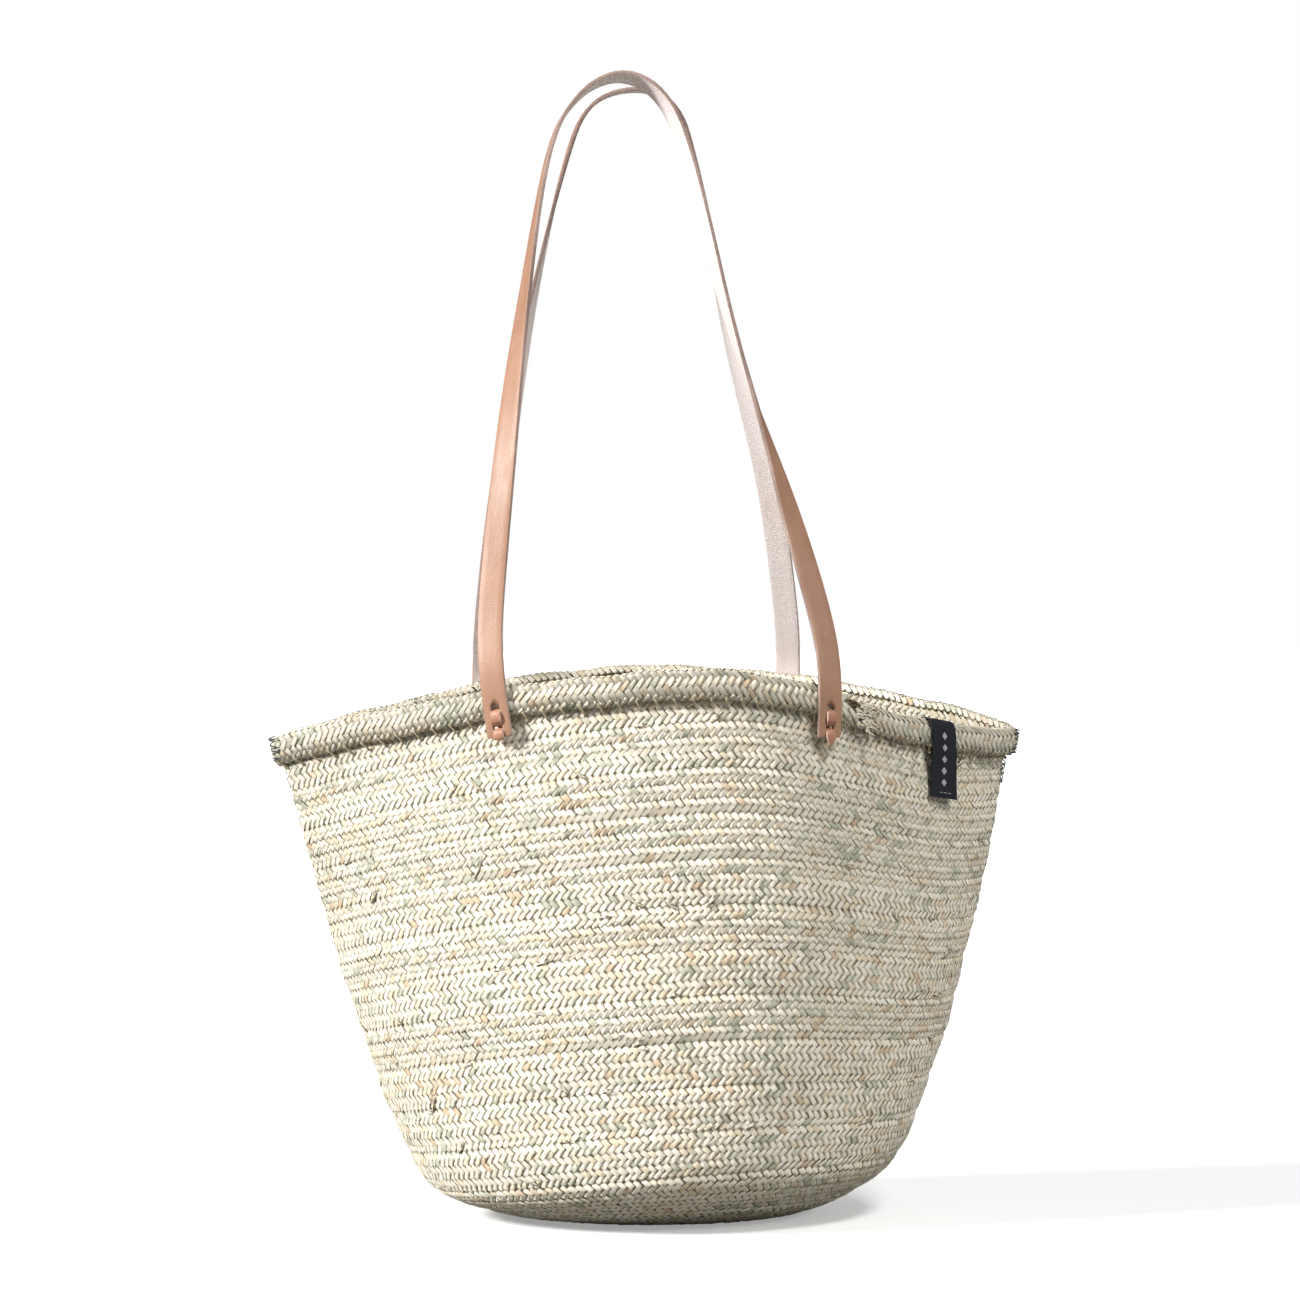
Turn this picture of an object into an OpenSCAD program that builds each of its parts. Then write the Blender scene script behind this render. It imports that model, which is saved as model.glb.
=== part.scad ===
// Market basket: one long palm-leaf plait coiled and sewn edge to edge, its last turn folded
// out as a hem, with two long leather straps laced on under the rim.
//
// +Z is up, -Y is the front with the label and +X is to its right. The origin lies on the
// surface that the basket stands on, under the middle of its box. Lengths are in millimetres.
//
// Every wall point comes from wall_point(turn, angle, out): "turn" counts plait widths from
// the middle of the floor, "angle" runs round the basket from the right-hand corner over the
// rear, and "out" is the distance outside the middle of the plait's thickness.

/* [Mouth] */
// Half the distance between the two pointed corners of the mouth
mouth_half_w = 231; // [222:1:238]
// How far the front of the mouth bows forward
mouth_front = 121; // [115:1:128]
// How far the rear of the mouth bows back
mouth_rear = 121; // [115:1:128]
// Height of the rim at the two corners
corner_h = 300; // [290:1:310]
// How much higher the rim stands at the middle of the front
front_arch = 41; // [30:1:45]
// How much higher the rim stands at the middle of the rear
rear_arch = 38; // [28:1:42]

/* [Floor] */
// Half the width of the floor, crease to crease
floor_half_w = 140; // [135:1:150]
// Distance from the middle of the floor to its front crease
floor_front = 117; // [110:1:122]
// Distance from the middle of the floor to its rear crease
floor_rear = 112; // [106:1:118]
// Height of the crease round the floor at the two sides
crease_h = 22; // [18:1:26]
// How far the floor's middle lies to the right of the mouth's middle
floor_shift = 8.5; // [0:0.5:12]

/* [Plait] */
// Turns of the plait across the floor, from its middle to the crease
floor_turns = 4.2; // [4.1:0.05:4.4]
// Turns of the plait up the wall, from the crease to the rim
wall_turns = 11.3; // [11.1:0.1:11.4]
// Thickness of the plait
plait_t = 3; // [2.4:0.1:3.4]
// Gap between two neighbouring turns
seam_gap = 0.2; // [0.1:0.1:0.4]
// Thickness of the strand that sews the turns together
strand_d = 1.6; // [1.2:0.1:2]

/* [Hem] */
// Height of the folded hem
hem_h = 18.5; // [17:0.5:20]
// How far the hem stands out from the wall
hem_t = 5.6; // [5:0.1:6]

/* [Straps] */
// Width of the leather straps
strap_w = 16; // [14:0.5:17]
// Thickness of the leather
strap_t = 2.5; // [2:0.1:2.6]
// Height of the line on which the handles swing
hinge_h = 335; // [335:1:338]
// Length of a strap's laced end, from the swing line down
strap_end_l = 33; // [31:1:35]

/* [Label] */
// Width of the woven ribbon label
label_w = 22; // [18:1:24]
// How far the label hangs down outside
label_drop = 52; // [45:1:56]

/* [Hidden] */

rim_turn = floor_turns + wall_turns;  // turn number of the rim
steps = 40;                           // flats in one turn of the plait
rim_end_angle = 306;                  // where the plait's last turn runs out, front right
coil_start = rim_end_angle - 360 * (rim_turn - floor(rim_turn));
mouth_front_x = 25;                   // the front bows out most a little right of the middle
mouth_rear_x = 10;
flat_floor = 0.42;                    // share of the floor's radius that lies on the surface
crease_round = 0.3;                   // how gradually the floor turns up, in turns
belly_side = 32;                      // how much the sides bulge between crease and mouth
belly_front = 20;
crease_rise = 9;                      // the crease is higher at the front and rear
crease_tilt = 6;                      // and higher on the right than on the left
plait_w = floor_front / floor_turns;  // width of the plait
nudge = 0.02;                         // step for working out directions on the wall
wall_top_drop = 3;                    // the wall's last turn stops this far below the fold
run_out_w = 0.12;                     // share of the plait's width left where it runs out

// ---- the basket's surface -----------------------------------------------------------

function mix(a, b, t) = a + (b - a) * t;
function unit(v) = v / norm(v);
function rotate_about(v, k, a) =
    v * cos(a) + cross(k, v) * sin(a) + k * (k * v) * (1 - cos(a));

// Turns above the crease and turns short of it, with the corner between them rounded off.
function above_crease(turn) =
    let (x = turn - floor_turns) (x + sqrt(x * x + crease_round * crease_round)) / 2;
function across_floor(turn) = turn - above_crease(turn);

// A closed plan outline that goes from an ellipse (point = 0) to a lens with pointed ends.
function plan_x(angle, half_w, apex_x, point) =
    let (c = cos(angle), from_corner = asin(abs(sin(angle))) / 90,
         reach = mix(abs(c), 1 - from_corner, point))
    c >= 0 ? apex_x + (half_w - apex_x) * reach : apex_x - (half_w + apex_x) * reach;

// The rim falls from its middle to the corners faster where the power is higher.
function rim_h(angle) =
    let (s = sin(angle), right = cos(angle) > 0)
    corner_h + 2 * cos(angle)
    + (s < 0 ? front_arch * pow(-s, right ? 2.6 : 1) : rear_arch * pow(s, right ? 0.8 : 1.05));
function crease_z(angle) =
    crease_h + crease_rise * pow(sin(angle), 2) + crease_tilt * cos(angle);

function mid_point(turn, angle) =
    let (up = above_crease(turn) / wall_turns,
         over = across_floor(turn) / floor_turns,
         belly = sqrt(up) * (1 - up),
         half_w = floor_half_w - floor_turns * plait_w * (1 - over)
                + (mouth_half_w - floor_half_w) * up + belly_side * belly,
         front = sin(angle) < 0,
         floor_y = front ? floor_front : floor_rear,
         mouth_y = front ? mouth_front : mouth_rear,
         half_d = floor_y * over + (mouth_y - floor_y) * up + belly_front * belly,
         apex_x = (front ? mouth_front_x : mouth_rear_x) * up,
         dish = pow(max(0, (over - flat_floor) / (1 - flat_floor)), 1.8),
         z = crease_z(angle) * dish + (rim_h(angle) - crease_z(angle)) * up)
    [plan_x(angle, half_w, apex_x, pow(up, 1.5)) + floor_shift * (1 - pow(up, 1.7)),
     half_d * sin(angle), z + plait_t / 2];

// Across the plait, up the wall, and straight out of it.
function up_dir(turn, angle) =
    unit(mid_point(turn + nudge, angle) - mid_point(turn - nudge, angle));
function round_dir(turn, angle) =
    unit(mid_point(turn, angle + 1) - mid_point(turn, angle - 1));
function out_dir(turn, angle) =
    unit(cross(round_dir(turn, angle), up_dir(turn, angle)));
function wall_point(turn, angle, out) =
    mid_point(turn, angle) + out * out_dir(turn, angle);

// The angle at which the wall, at a given turn, passes a given x, by halving.
function find_angle(turn, x, low, high, n = 24) =
    let (a = (low + high) / 2)
    n == 0 ? a
    : (mid_point(turn, a)[0] - x) * (mid_point(turn, low)[0] - x) > 0
        ? find_angle(turn, x, a, high, n - 1)
        : find_angle(turn, x, low, a, n - 1);

// ---- solids from sections -----------------------------------------------------------

// A solid through a row of sections, each a loop with the same number of points.
module loft(sections, closed = false) {
    n = len(sections);
    m = len(sections[0]);
    last = closed ? n - 1 : n - 2;
    sides = [for (i = [0:last], j = [0:m - 1])
        let (k = (i + 1) % n, l = (j + 1) % m)
        each [[i * m + j, k * m + j, k * m + l], [i * m + j, k * m + l, i * m + l]]];
    caps = closed ? []
         : [[for (j = [0:m - 1]) j], [for (j = [m - 1:-1:0]) (n - 1) * m + j]];
    polyhedron(points = [for (s = sections) each s], faces = concat(sides, caps));
}

// ---- plait ----------------------------------------------------------------------------

// The turn number of the coil's outer edge after it has wound round to an angle.
function edge_turn(turn, angle) = turn - 1 + (angle - coil_start) / 360;

// One turn of the plait, from coil_start round to coil_start again, in rows across its width.
module plait_turn(turn, rows = 1) {
    half = plait_t / 2;
    gap = seam_gap / plait_w / 2;
    top = rim_turn - wall_top_drop / plait_w;
    run_out = turn + run_out_w > top ? 360 * (top - turn + 1 - run_out_w) : 360;
    n = ceil(steps * min(1, run_out / 360));
    loft([for (i = [0:n])
        let (angle = coil_start + min(run_out, 360) * i / n,
             low = edge_turn(turn, angle) + gap,
             high = min(top, low + 1 - 2 * gap))
        concat([for (r = [0:rows]) wall_point(mix(low, high, r / rows), angle, -half)],
               [for (r = [rows:-1:0]) wall_point(mix(low, high, r / rows), angle, half)])]);
}

// The first turn has no turn inside it, so it is a disc out to its spiral edge.
module plait_centre() {
    gap = seam_gap / plait_w / 2;
    edge = [for (i = [0:steps])
        let (angle = coil_start + 360 * i / steps)
        mid_point(edge_turn(2, angle) - gap, angle)];
    linear_extrude(plait_t) polygon([for (p = edge) [p[0], p[1]]]);
}

module floor_turn(turn) {
    color("#c9c3a4") if (turn == 1) plait_centre(); else plait_turn(turn, turn < 4 ? 1 : 2);
}

module wall_turn(turn) {
    color(turn % 2 == 0 ? "#d6d1b4" : "#cbc6a8") plait_turn(turn + 4, turn == 1 ? 2 : 1);
}

// The strand that sews each turn to the next, along the seam on the inside.
module sewing_strand() {
    out = -(plait_t / 2 + strand_d / 2 + 0.1);
    last = 360 * (rim_turn - 1.5) + coil_start;
    n = floor(steps * (last - coil_start) / 360);
    color("#b9ae86") loft([for (i = [steps:n])
        let (angle = coil_start + 360 * i / steps, turn = 1 + (angle - coil_start) / 360,
             c = wall_point(turn, angle, out), up = up_dir(turn, angle),
             side = out_dir(turn, angle))
        [for (a = [90, 210, 330]) c + strand_d / 2 * (side * sin(a) + up * cos(a))]]);
}

// ---- hem ------------------------------------------------------------------------------

// A point "down" below the rim and "out" from the middle of the wall.
function hem_point(angle, down, out) = wall_point(rim_turn - down / plait_w, angle, out);

// The hem's section: down from the fold over the rim, round its lower edge and up the wall.
function hem_section(angle) =
    let (wall = plait_t / 2, clear = 0.5)
    [for (p = [[-wall, 2.2], [-wall, 0.8], [0, -0.4], [wall + hem_t * 0.5, 0],
               [wall + hem_t * 0.9, 2.5], [wall + hem_t, 7], [wall + hem_t, hem_h * 0.75],
               [wall + hem_t * 0.6, hem_h - 0.5], [wall + clear, hem_h], [wall + clear, 2.2]])
        hem_point(angle, p[1], p[0])];

module rim_hem() {
    end = 0.4;
    color("#ddd6b6") loft([for (i = [0:steps])
        hem_section(rim_end_angle + min(360 - end, max(end, 360 * i / steps)))]);
}

// Small whip stitches that hold the hem's lower edge against the wall.
module hem_stitches() {
    count = 24;
    color("#a99f7c") for (i = [0:count - 1])
        let (angle = rim_end_angle + 360 * (i + 0.5) / count,
             out = plait_t / 2 + 1.3, up = up_dir(rim_turn, angle))
        loft([for (down = [hem_h + 0.8, hem_h + 5])
            let (c = hem_point(angle, down, out), side = round_dir(rim_turn, angle))
            [for (a = [45, 135, 225, 315])
                c + 0.8 * side * cos(a) + 0.8 * out_dir(rim_turn, angle) * sin(a)]]);
}

// Dark thread whipped over the folded corner of the mouth, below the hem.
module corner_stitches(angle) {
    count = 6;
    reach = 3.5;
    thread = 0.6;
    color("#3a3632") for (i = [0:count - 1])
        let (down = 3 + 5 * i, slant = i % 2 == 0 ? 1.5 : -1.5,
             out = plait_t / 2 + thread + 0.15 + (down < hem_h + 1 ? hem_t : 0))
        loft([for (s = [-1, 1])
            let (c = hem_point(angle, down + slant * s, out))
            [for (a = [0, 90, 180, 270])
                c + [0, reach * s, 0] + thread * [cos(a), 0, sin(a)]]]);
}

// ---- straps ---------------------------------------------------------------------------

// Where each strap's end is laced on, as x on the wall.
front_root_x = [-98, 95];
rear_root_x = [-90, 98];
root_out = plait_t / 2 + hem_t + 0.8 + strap_t / 2;
bend_gap = 7;                         // the leather's bending stretch over the rim
end_tilt = [-9, 2];                   // how far each front end leans in its own plane
front_apex = [-18, -15, 709];
rear_apex = [-3, 14, 704];

function root_angle(x, side) =
    side < 0 ? find_angle(rim_turn, x, 181, 359) : find_angle(rim_turn, x, 179, 1);
// The strap's middle on the swing line: the wall's place there, out over the hem.
function root_point(x, side) =
    let (p = hem_point(root_angle(x, side), 8, root_out)) [p[0], p[1], hinge_h];
// The wall's level direction outwards there.
function root_out_dir(x, side) =
    let (d = out_dir(rim_turn - 0.5, root_angle(x, side))) unit([d[0], d[1], 0]);

// A smooth curve through the points p, between p[i] and p[i + 1].
function curve_at(p, i, t) =
    let (a = p[max(i - 1, 0)], b = p[i], c = p[i + 1], d = p[min(i + 2, len(p) - 1)])
    0.5 * (2 * b + (c - a) * t + (2 * a - 5 * b + 4 * c - d) * t * t
           + (3 * b - a - 3 * c + d) * t * t * t);
function curve(p, n) =
    [for (i = [0:len(p) - 2], k = [0:n - 1]) curve_at(p, i, k / n), p[len(p) - 1]];

// Each strap's arch, as x and height; its depth leans from the hem to the apex.
front_arch_line = [[-104, 372], [-95, 458], [-82, 556], [-64, 657], [-45, 695], [-18, 709],
                   [7, 696], [23, 657], [46, 556], [74, 458], [96, 372]];
rear_arch_line = [[-94, 372], [-86, 458], [-71, 556], [-51, 650], [-34, 693], [-3, 704],
                  [20, 692], [33, 655], [52, 556], [83, 458], [101, 372]];

// Points along a strap's middle, from its left root over the apex to its right root.
function strap_line(arch, root_x, side, apex) =
    let (left = root_point(root_x[0], side), right = root_point(root_x[1], side))
    curve(concat([left + [0, 0, bend_gap / 2]],
        [for (q = arch)
            let (start = q[0] < apex[0] ? left : right,
                 rise = (q[1] - hinge_h) / (apex[2] - hinge_h))
            [q[0], mix(start[1], apex[1], pow(rise, 0.9)), q[1]]],
        [right + [0, 0, bend_gap / 2]]), 4);

// A flat band along a line, its grain side turning from the wall's way out to straight up.
module strap(arch, root_x, side, apex, tint) {
    line = strap_line(arch, root_x, side, apex);
    n = len(line) - 1;
    color(tint) loft([for (i = [0:n])
        let (c = line[i], along = unit(line[min(i + 1, n)] - line[max(i - 1, 0)]),
             turn_up = min(1, max(0, (c[2] - 380) / 300)),
             root_dir = root_out_dir(i < n / 2 ? root_x[0] : root_x[1], side),
             arch_dir = unit(cross(along, [0, 1, 0])),
             wanted = unit(mix(root_dir, arch_dir, turn_up * turn_up * (3 - 2 * turn_up))),
             out = unit(wanted - along * (wanted * along)),
             across = cross(out, along))
        [c + out * strap_t / 2 + across * strap_w / 2, c + out * strap_t / 2 - across * strap_w / 2,
         c - out * strap_t / 2 - across * strap_w / 2, c - out * strap_t / 2 + across * strap_w / 2]]);
}

lace_hole_d = 6;
upper_hole = 15.5;                    // lace holes, measured down from the swing line
lower_hole = 27;

// Places a flat end's own frame on the wall: x across the strap, y outwards, z along it.
module at_root(x, side, tilt) {
    p = root_point(x, side);
    d = root_out_dir(x, side);
    translate(p) rotate([0, 0, atan2(d[1], d[0]) + 90]) rotate([0, tilt, 0]) children();
}

// A strap's end: a flat plate with square-cut corners and two holes for its lace.
module strap_end(x, side, tilt, tint) {
    corner = 1.5;
    top = -bend_gap / 2;
    half = strap_w / 2;
    color(tint) at_root(x, side, tilt) difference() {
        translate([0, strap_t / 2, 0]) rotate([90, 0, 0]) linear_extrude(strap_t)
            polygon([[-half, top], [half, top], [half, corner - strap_end_l],
                     [half - corner, -strap_end_l], [corner - half, -strap_end_l],
                     [-half, corner - strap_end_l]]);
        for (down = [upper_hole, lower_hole])
            translate([0, strap_t, -down]) rotate([90, 0, 0])
                cylinder(h = 2 * strap_t, d = lace_hole_d, $fn = 48);
    }
}

// A leather lace: out through the upper hole, a short bight over the strap, in again, and a
// tongue hanging from the knot. Its two legs squeeze between the leaves to a bar inside.
module lace(x, side, tilt, tint) {
    leg_d = 4.6;
    inside = 13;
    bight_w = 7.5;
    bight_t = 1.8;
    front = strap_t / 2 + 0.1;
    color(tint) at_root(x, side, tilt) {
        for (down = [upper_hole, lower_hole])
            translate([0, inside, -down]) rotate([90, 0, 0])
                cylinder(h = inside + front + 0.5, d = leg_d, $fn = 32);
        translate([-bight_w / 2, -front - bight_t, -lower_hole - 1])
            cube([bight_w, bight_t, lower_hole - upper_hole + 2]);
        translate([-bight_w / 2, inside - 0.5, -lower_hole - 3])
            cube([bight_w, bight_t, lower_hole - upper_hole + 6]);
        translate([0, -front, 0]) rotate([90, 0, 0]) linear_extrude(bight_t)
            polygon([[-bight_w / 2, -lower_hole - 1], [bight_w / 2, -lower_hole - 1],
                     [bight_w / 2, -lower_hole - 4.5], [0, -lower_hole - 9],
                     [-bight_w / 2, -lower_hole - 4.5]]);
    }
}

// ---- label ----------------------------------------------------------------------------

label_x = 172;                        // where the label hangs, right of the front
label_t = 0.8;
label_inside = 16;                    // length of its tail inside the mouth

// The ribbon's path in the hem's own measures, out from the wall and down from the rim.
function label_path() =
    let (wall = plait_t / 2, over = wall + hem_t + 1.1)
    [[-wall - 1.4, label_inside], [-wall - 1.4, 2], [-0.4, -2], [wall + hem_t * 0.55, -1.6],
     [over, 1.5], [over + 0.2, 8], [over, hem_h], [over - 1, hem_h + 12], [over - 1.6, label_drop]];

module label() {
    angle = find_angle(rim_turn, label_x, 271, 359);
    across = round_dir(rim_turn, angle);
    path = label_path();
    n = len(path) - 1;
    color("#17181c") loft([for (i = [0:n])
        let (c = hem_point(angle, path[i][1], path[i][0]),
             after = hem_point(angle, path[min(i + 1, n)][1], path[min(i + 1, n)][0]),
             before = hem_point(angle, path[max(i - 1, 0)][1], path[max(i - 1, 0)][0]),
             out = unit(cross(unit(after - before), across)),
             a = across * label_w / 2, b = out * label_t / 2)
        [c - a - b, c + a - b, c + a + b, c - a + b]]);
}

// The stitch that tacks the label's lower end to the wall.
module label_stitch() {
    angle = find_angle(rim_turn, label_x, 271, 359);
    across = round_dir(rim_turn, angle);
    color("#8e8f94") translate(hem_point(angle, label_drop - 3.5, plait_t / 2 + hem_t + 0.4))
        rotate([0, 0, atan2(across[1], across[0])]) translate([-3, -0.6, -0.4])
            cube([6, 0.7, 0.8]);
}

// ---- the nodes ------------------------------------------------------------------------

grain = "#e0a47c";
shade = "#b8795c";

floor_turn(1);  // floor_turn_1
floor_turn(2);  // floor_turn_2
floor_turn(3);  // floor_turn_3
floor_turn(4);  // floor_turn_4
wall_turn(1);  // wall_turn_01
wall_turn(2);  // wall_turn_02
wall_turn(3);  // wall_turn_03
wall_turn(4);  // wall_turn_04
wall_turn(5);  // wall_turn_05
wall_turn(6);  // wall_turn_06
wall_turn(7);  // wall_turn_07
wall_turn(8);  // wall_turn_08
wall_turn(9);  // wall_turn_09
wall_turn(10);  // wall_turn_10
wall_turn(11);  // wall_turn_11
wall_turn(12);  // wall_turn_12
sewing_strand();
rim_hem();
hem_stitches();
corner_stitches(180);  // left_corner_stitches
corner_stitches(0);  // right_corner_stitches
strap(front_arch_line, front_root_x, -1, front_apex, grain);  // front_strap
strap_end(front_root_x[0], -1, end_tilt[0], grain);  // front_strap_left_end
strap_end(front_root_x[1], -1, end_tilt[1], grain);  // front_strap_right_end
strap(rear_arch_line, rear_root_x, 1, rear_apex, shade);  // rear_strap
strap_end(rear_root_x[0], 1, 0, shade);  // rear_strap_left_end
strap_end(rear_root_x[1], 1, 0, shade);  // rear_strap_right_end
lace(front_root_x[0], -1, end_tilt[0], shade);  // front_left_lace
lace(front_root_x[1], -1, end_tilt[1], shade);  // front_right_lace
lace(rear_root_x[0], 1, 0, shade);  // rear_left_lace
lace(rear_root_x[1], 1, 0, shade);  // rear_right_lace
label();
label_stitch();
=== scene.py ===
"""A woven palm-leaf market basket with two leather strap handles, set up on a pale studio floor."""
import logging
import math
from dataclasses import dataclass
from enum import Enum

import bmesh
import bpy
import numpy as np
from mathutils import Matrix, Vector


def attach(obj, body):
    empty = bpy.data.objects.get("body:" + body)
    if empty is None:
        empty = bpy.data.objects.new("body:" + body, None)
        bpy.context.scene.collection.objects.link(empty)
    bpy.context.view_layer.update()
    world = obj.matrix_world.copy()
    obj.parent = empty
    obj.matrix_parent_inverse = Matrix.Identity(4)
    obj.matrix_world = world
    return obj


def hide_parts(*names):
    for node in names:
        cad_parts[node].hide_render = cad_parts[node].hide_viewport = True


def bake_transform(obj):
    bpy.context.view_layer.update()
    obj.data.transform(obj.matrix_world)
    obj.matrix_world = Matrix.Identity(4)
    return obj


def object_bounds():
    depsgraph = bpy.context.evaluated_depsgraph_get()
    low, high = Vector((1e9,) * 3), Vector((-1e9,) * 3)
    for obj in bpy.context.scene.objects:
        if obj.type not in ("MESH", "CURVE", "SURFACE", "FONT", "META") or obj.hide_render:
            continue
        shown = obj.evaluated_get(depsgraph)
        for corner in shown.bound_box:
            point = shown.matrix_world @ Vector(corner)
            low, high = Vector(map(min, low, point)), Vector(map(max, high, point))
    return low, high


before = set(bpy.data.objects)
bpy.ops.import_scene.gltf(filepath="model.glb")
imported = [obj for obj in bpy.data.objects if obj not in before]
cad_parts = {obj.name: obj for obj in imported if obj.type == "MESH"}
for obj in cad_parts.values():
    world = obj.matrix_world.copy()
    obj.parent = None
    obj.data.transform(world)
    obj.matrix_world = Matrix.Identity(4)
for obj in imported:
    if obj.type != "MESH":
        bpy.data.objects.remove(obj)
CAD_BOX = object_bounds()

LOG = logging.getLogger("basket")
SEED = 7
FULL_TURN = 360.0


# ---- small helpers --------------------------------------------------------------------------


def smoothstep(value: np.ndarray) -> np.ndarray:
    """Eases a value from 0 to 1, flat at both ends."""
    t = np.clip(value, 0.0, 1.0)
    return t * t * (3.0 - 2.0 * t)


def unit_rows(rows: np.ndarray) -> np.ndarray:
    """Scales each row of a table of vectors to length one."""
    return rows / np.maximum(np.linalg.norm(rows, axis=-1, keepdims=True), 1e-12)


def curve_through(knots: np.ndarray, steps: int) -> np.ndarray:
    """Draws a smooth curve through points.

    Args:
        knots: the points, in order.
        steps: how many points to give for each stretch.

    Returns:
        The curve's points, the last knot among them.
    """
    rows = np.array([knots[0], *knots, knots[-1]])
    t = np.linspace(0, 1, steps + 1)[:-1, None]
    spans = [0.5 * (2 * b + (c - a) * t + (2 * a - 5 * b + 4 * c - d) * t**2
                    + (3 * b - a - 3 * c + d) * t**3)
             for a, b, c, d in zip(rows, rows[1:], rows[2:], rows[3:])]
    return np.concatenate([*spans, rows[-1:]])


def run_lengths(line: np.ndarray) -> np.ndarray:
    """Measures how far along a line each of its points is."""
    return np.concatenate([[0.0], np.cumsum(np.linalg.norm(np.diff(line, axis=0), axis=1))])


def read_points(mesh: bpy.types.Mesh) -> np.ndarray:
    """Gives a mesh's vertex positions as a table of three columns."""
    points = np.empty(len(mesh.vertices) * 3)
    mesh.vertices.foreach_get("co", points)
    return points.reshape(-1, 3)


def write_points(mesh: bpy.types.Mesh, points: np.ndarray) -> None:
    """Moves a mesh's vertices to the rows of a table."""
    mesh.vertices.foreach_set("co", points.ravel())
    mesh.update()


def write_attribute(mesh: bpy.types.Mesh, name: str, values: np.ndarray) -> None:
    """Stores one number or one vector per vertex for the mesh's material to read.

    Args:
        mesh: the mesh that carries the attribute.
        name: the name that the material asks for.
        values: one number per vertex, or a table of three columns.
    """
    vector = values.ndim == 2
    layer = mesh.attributes.new(name, "FLOAT_VECTOR" if vector else "FLOAT", "POINT")
    layer.data.foreach_set("vector" if vector else "value", values.astype(np.float32).ravel())


def mesh_from(work: bmesh.types.BMesh, name: str) -> bpy.types.Mesh:
    """Turns a bmesh into a mesh, its faces pointing outwards, and frees the bmesh.

    Args:
        work: the bmesh, which is used up.
        name: the new mesh's name.

    Returns:
        The new mesh, shaded smooth.
    """
    bmesh.ops.recalc_face_normals(work, faces=work.faces)
    for face in work.faces:
        face.smooth = True
    mesh = bpy.data.meshes.new(name)
    work.to_mesh(mesh)
    work.free()
    return mesh


def object_from(mesh: bpy.types.Mesh, name: str, *materials: bpy.types.Material) -> bpy.types.Object:
    """Puts a mesh in the scene as an object at the origin.

    Args:
        mesh: the mesh, with its place in its vertices.
        name: the object's name.
        materials: the finishes, in the order of the mesh's material numbers.

    Returns:
        The new object.
    """
    for material in materials:
        mesh.materials.append(material)
    piece = bpy.data.objects.new(name, mesh)
    bpy.context.scene.collection.objects.link(piece)
    return piece


def fit_up(piece: bpy.types.Object, body: str, *nodes: str) -> bpy.types.Object:
    """Hangs a finished piece on its body and lets it stand for its frame parts.

    Args:
        piece: the finished piece.
        body: the body that it moves with, or nothing to leave it on no body.
        nodes: the frame parts that it stands for.

    Returns:
        The same piece.
    """
    if nodes:
        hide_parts(*nodes)
    if body:
        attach(piece, body)
    return piece


# ---- finishes -------------------------------------------------------------------------------


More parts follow.
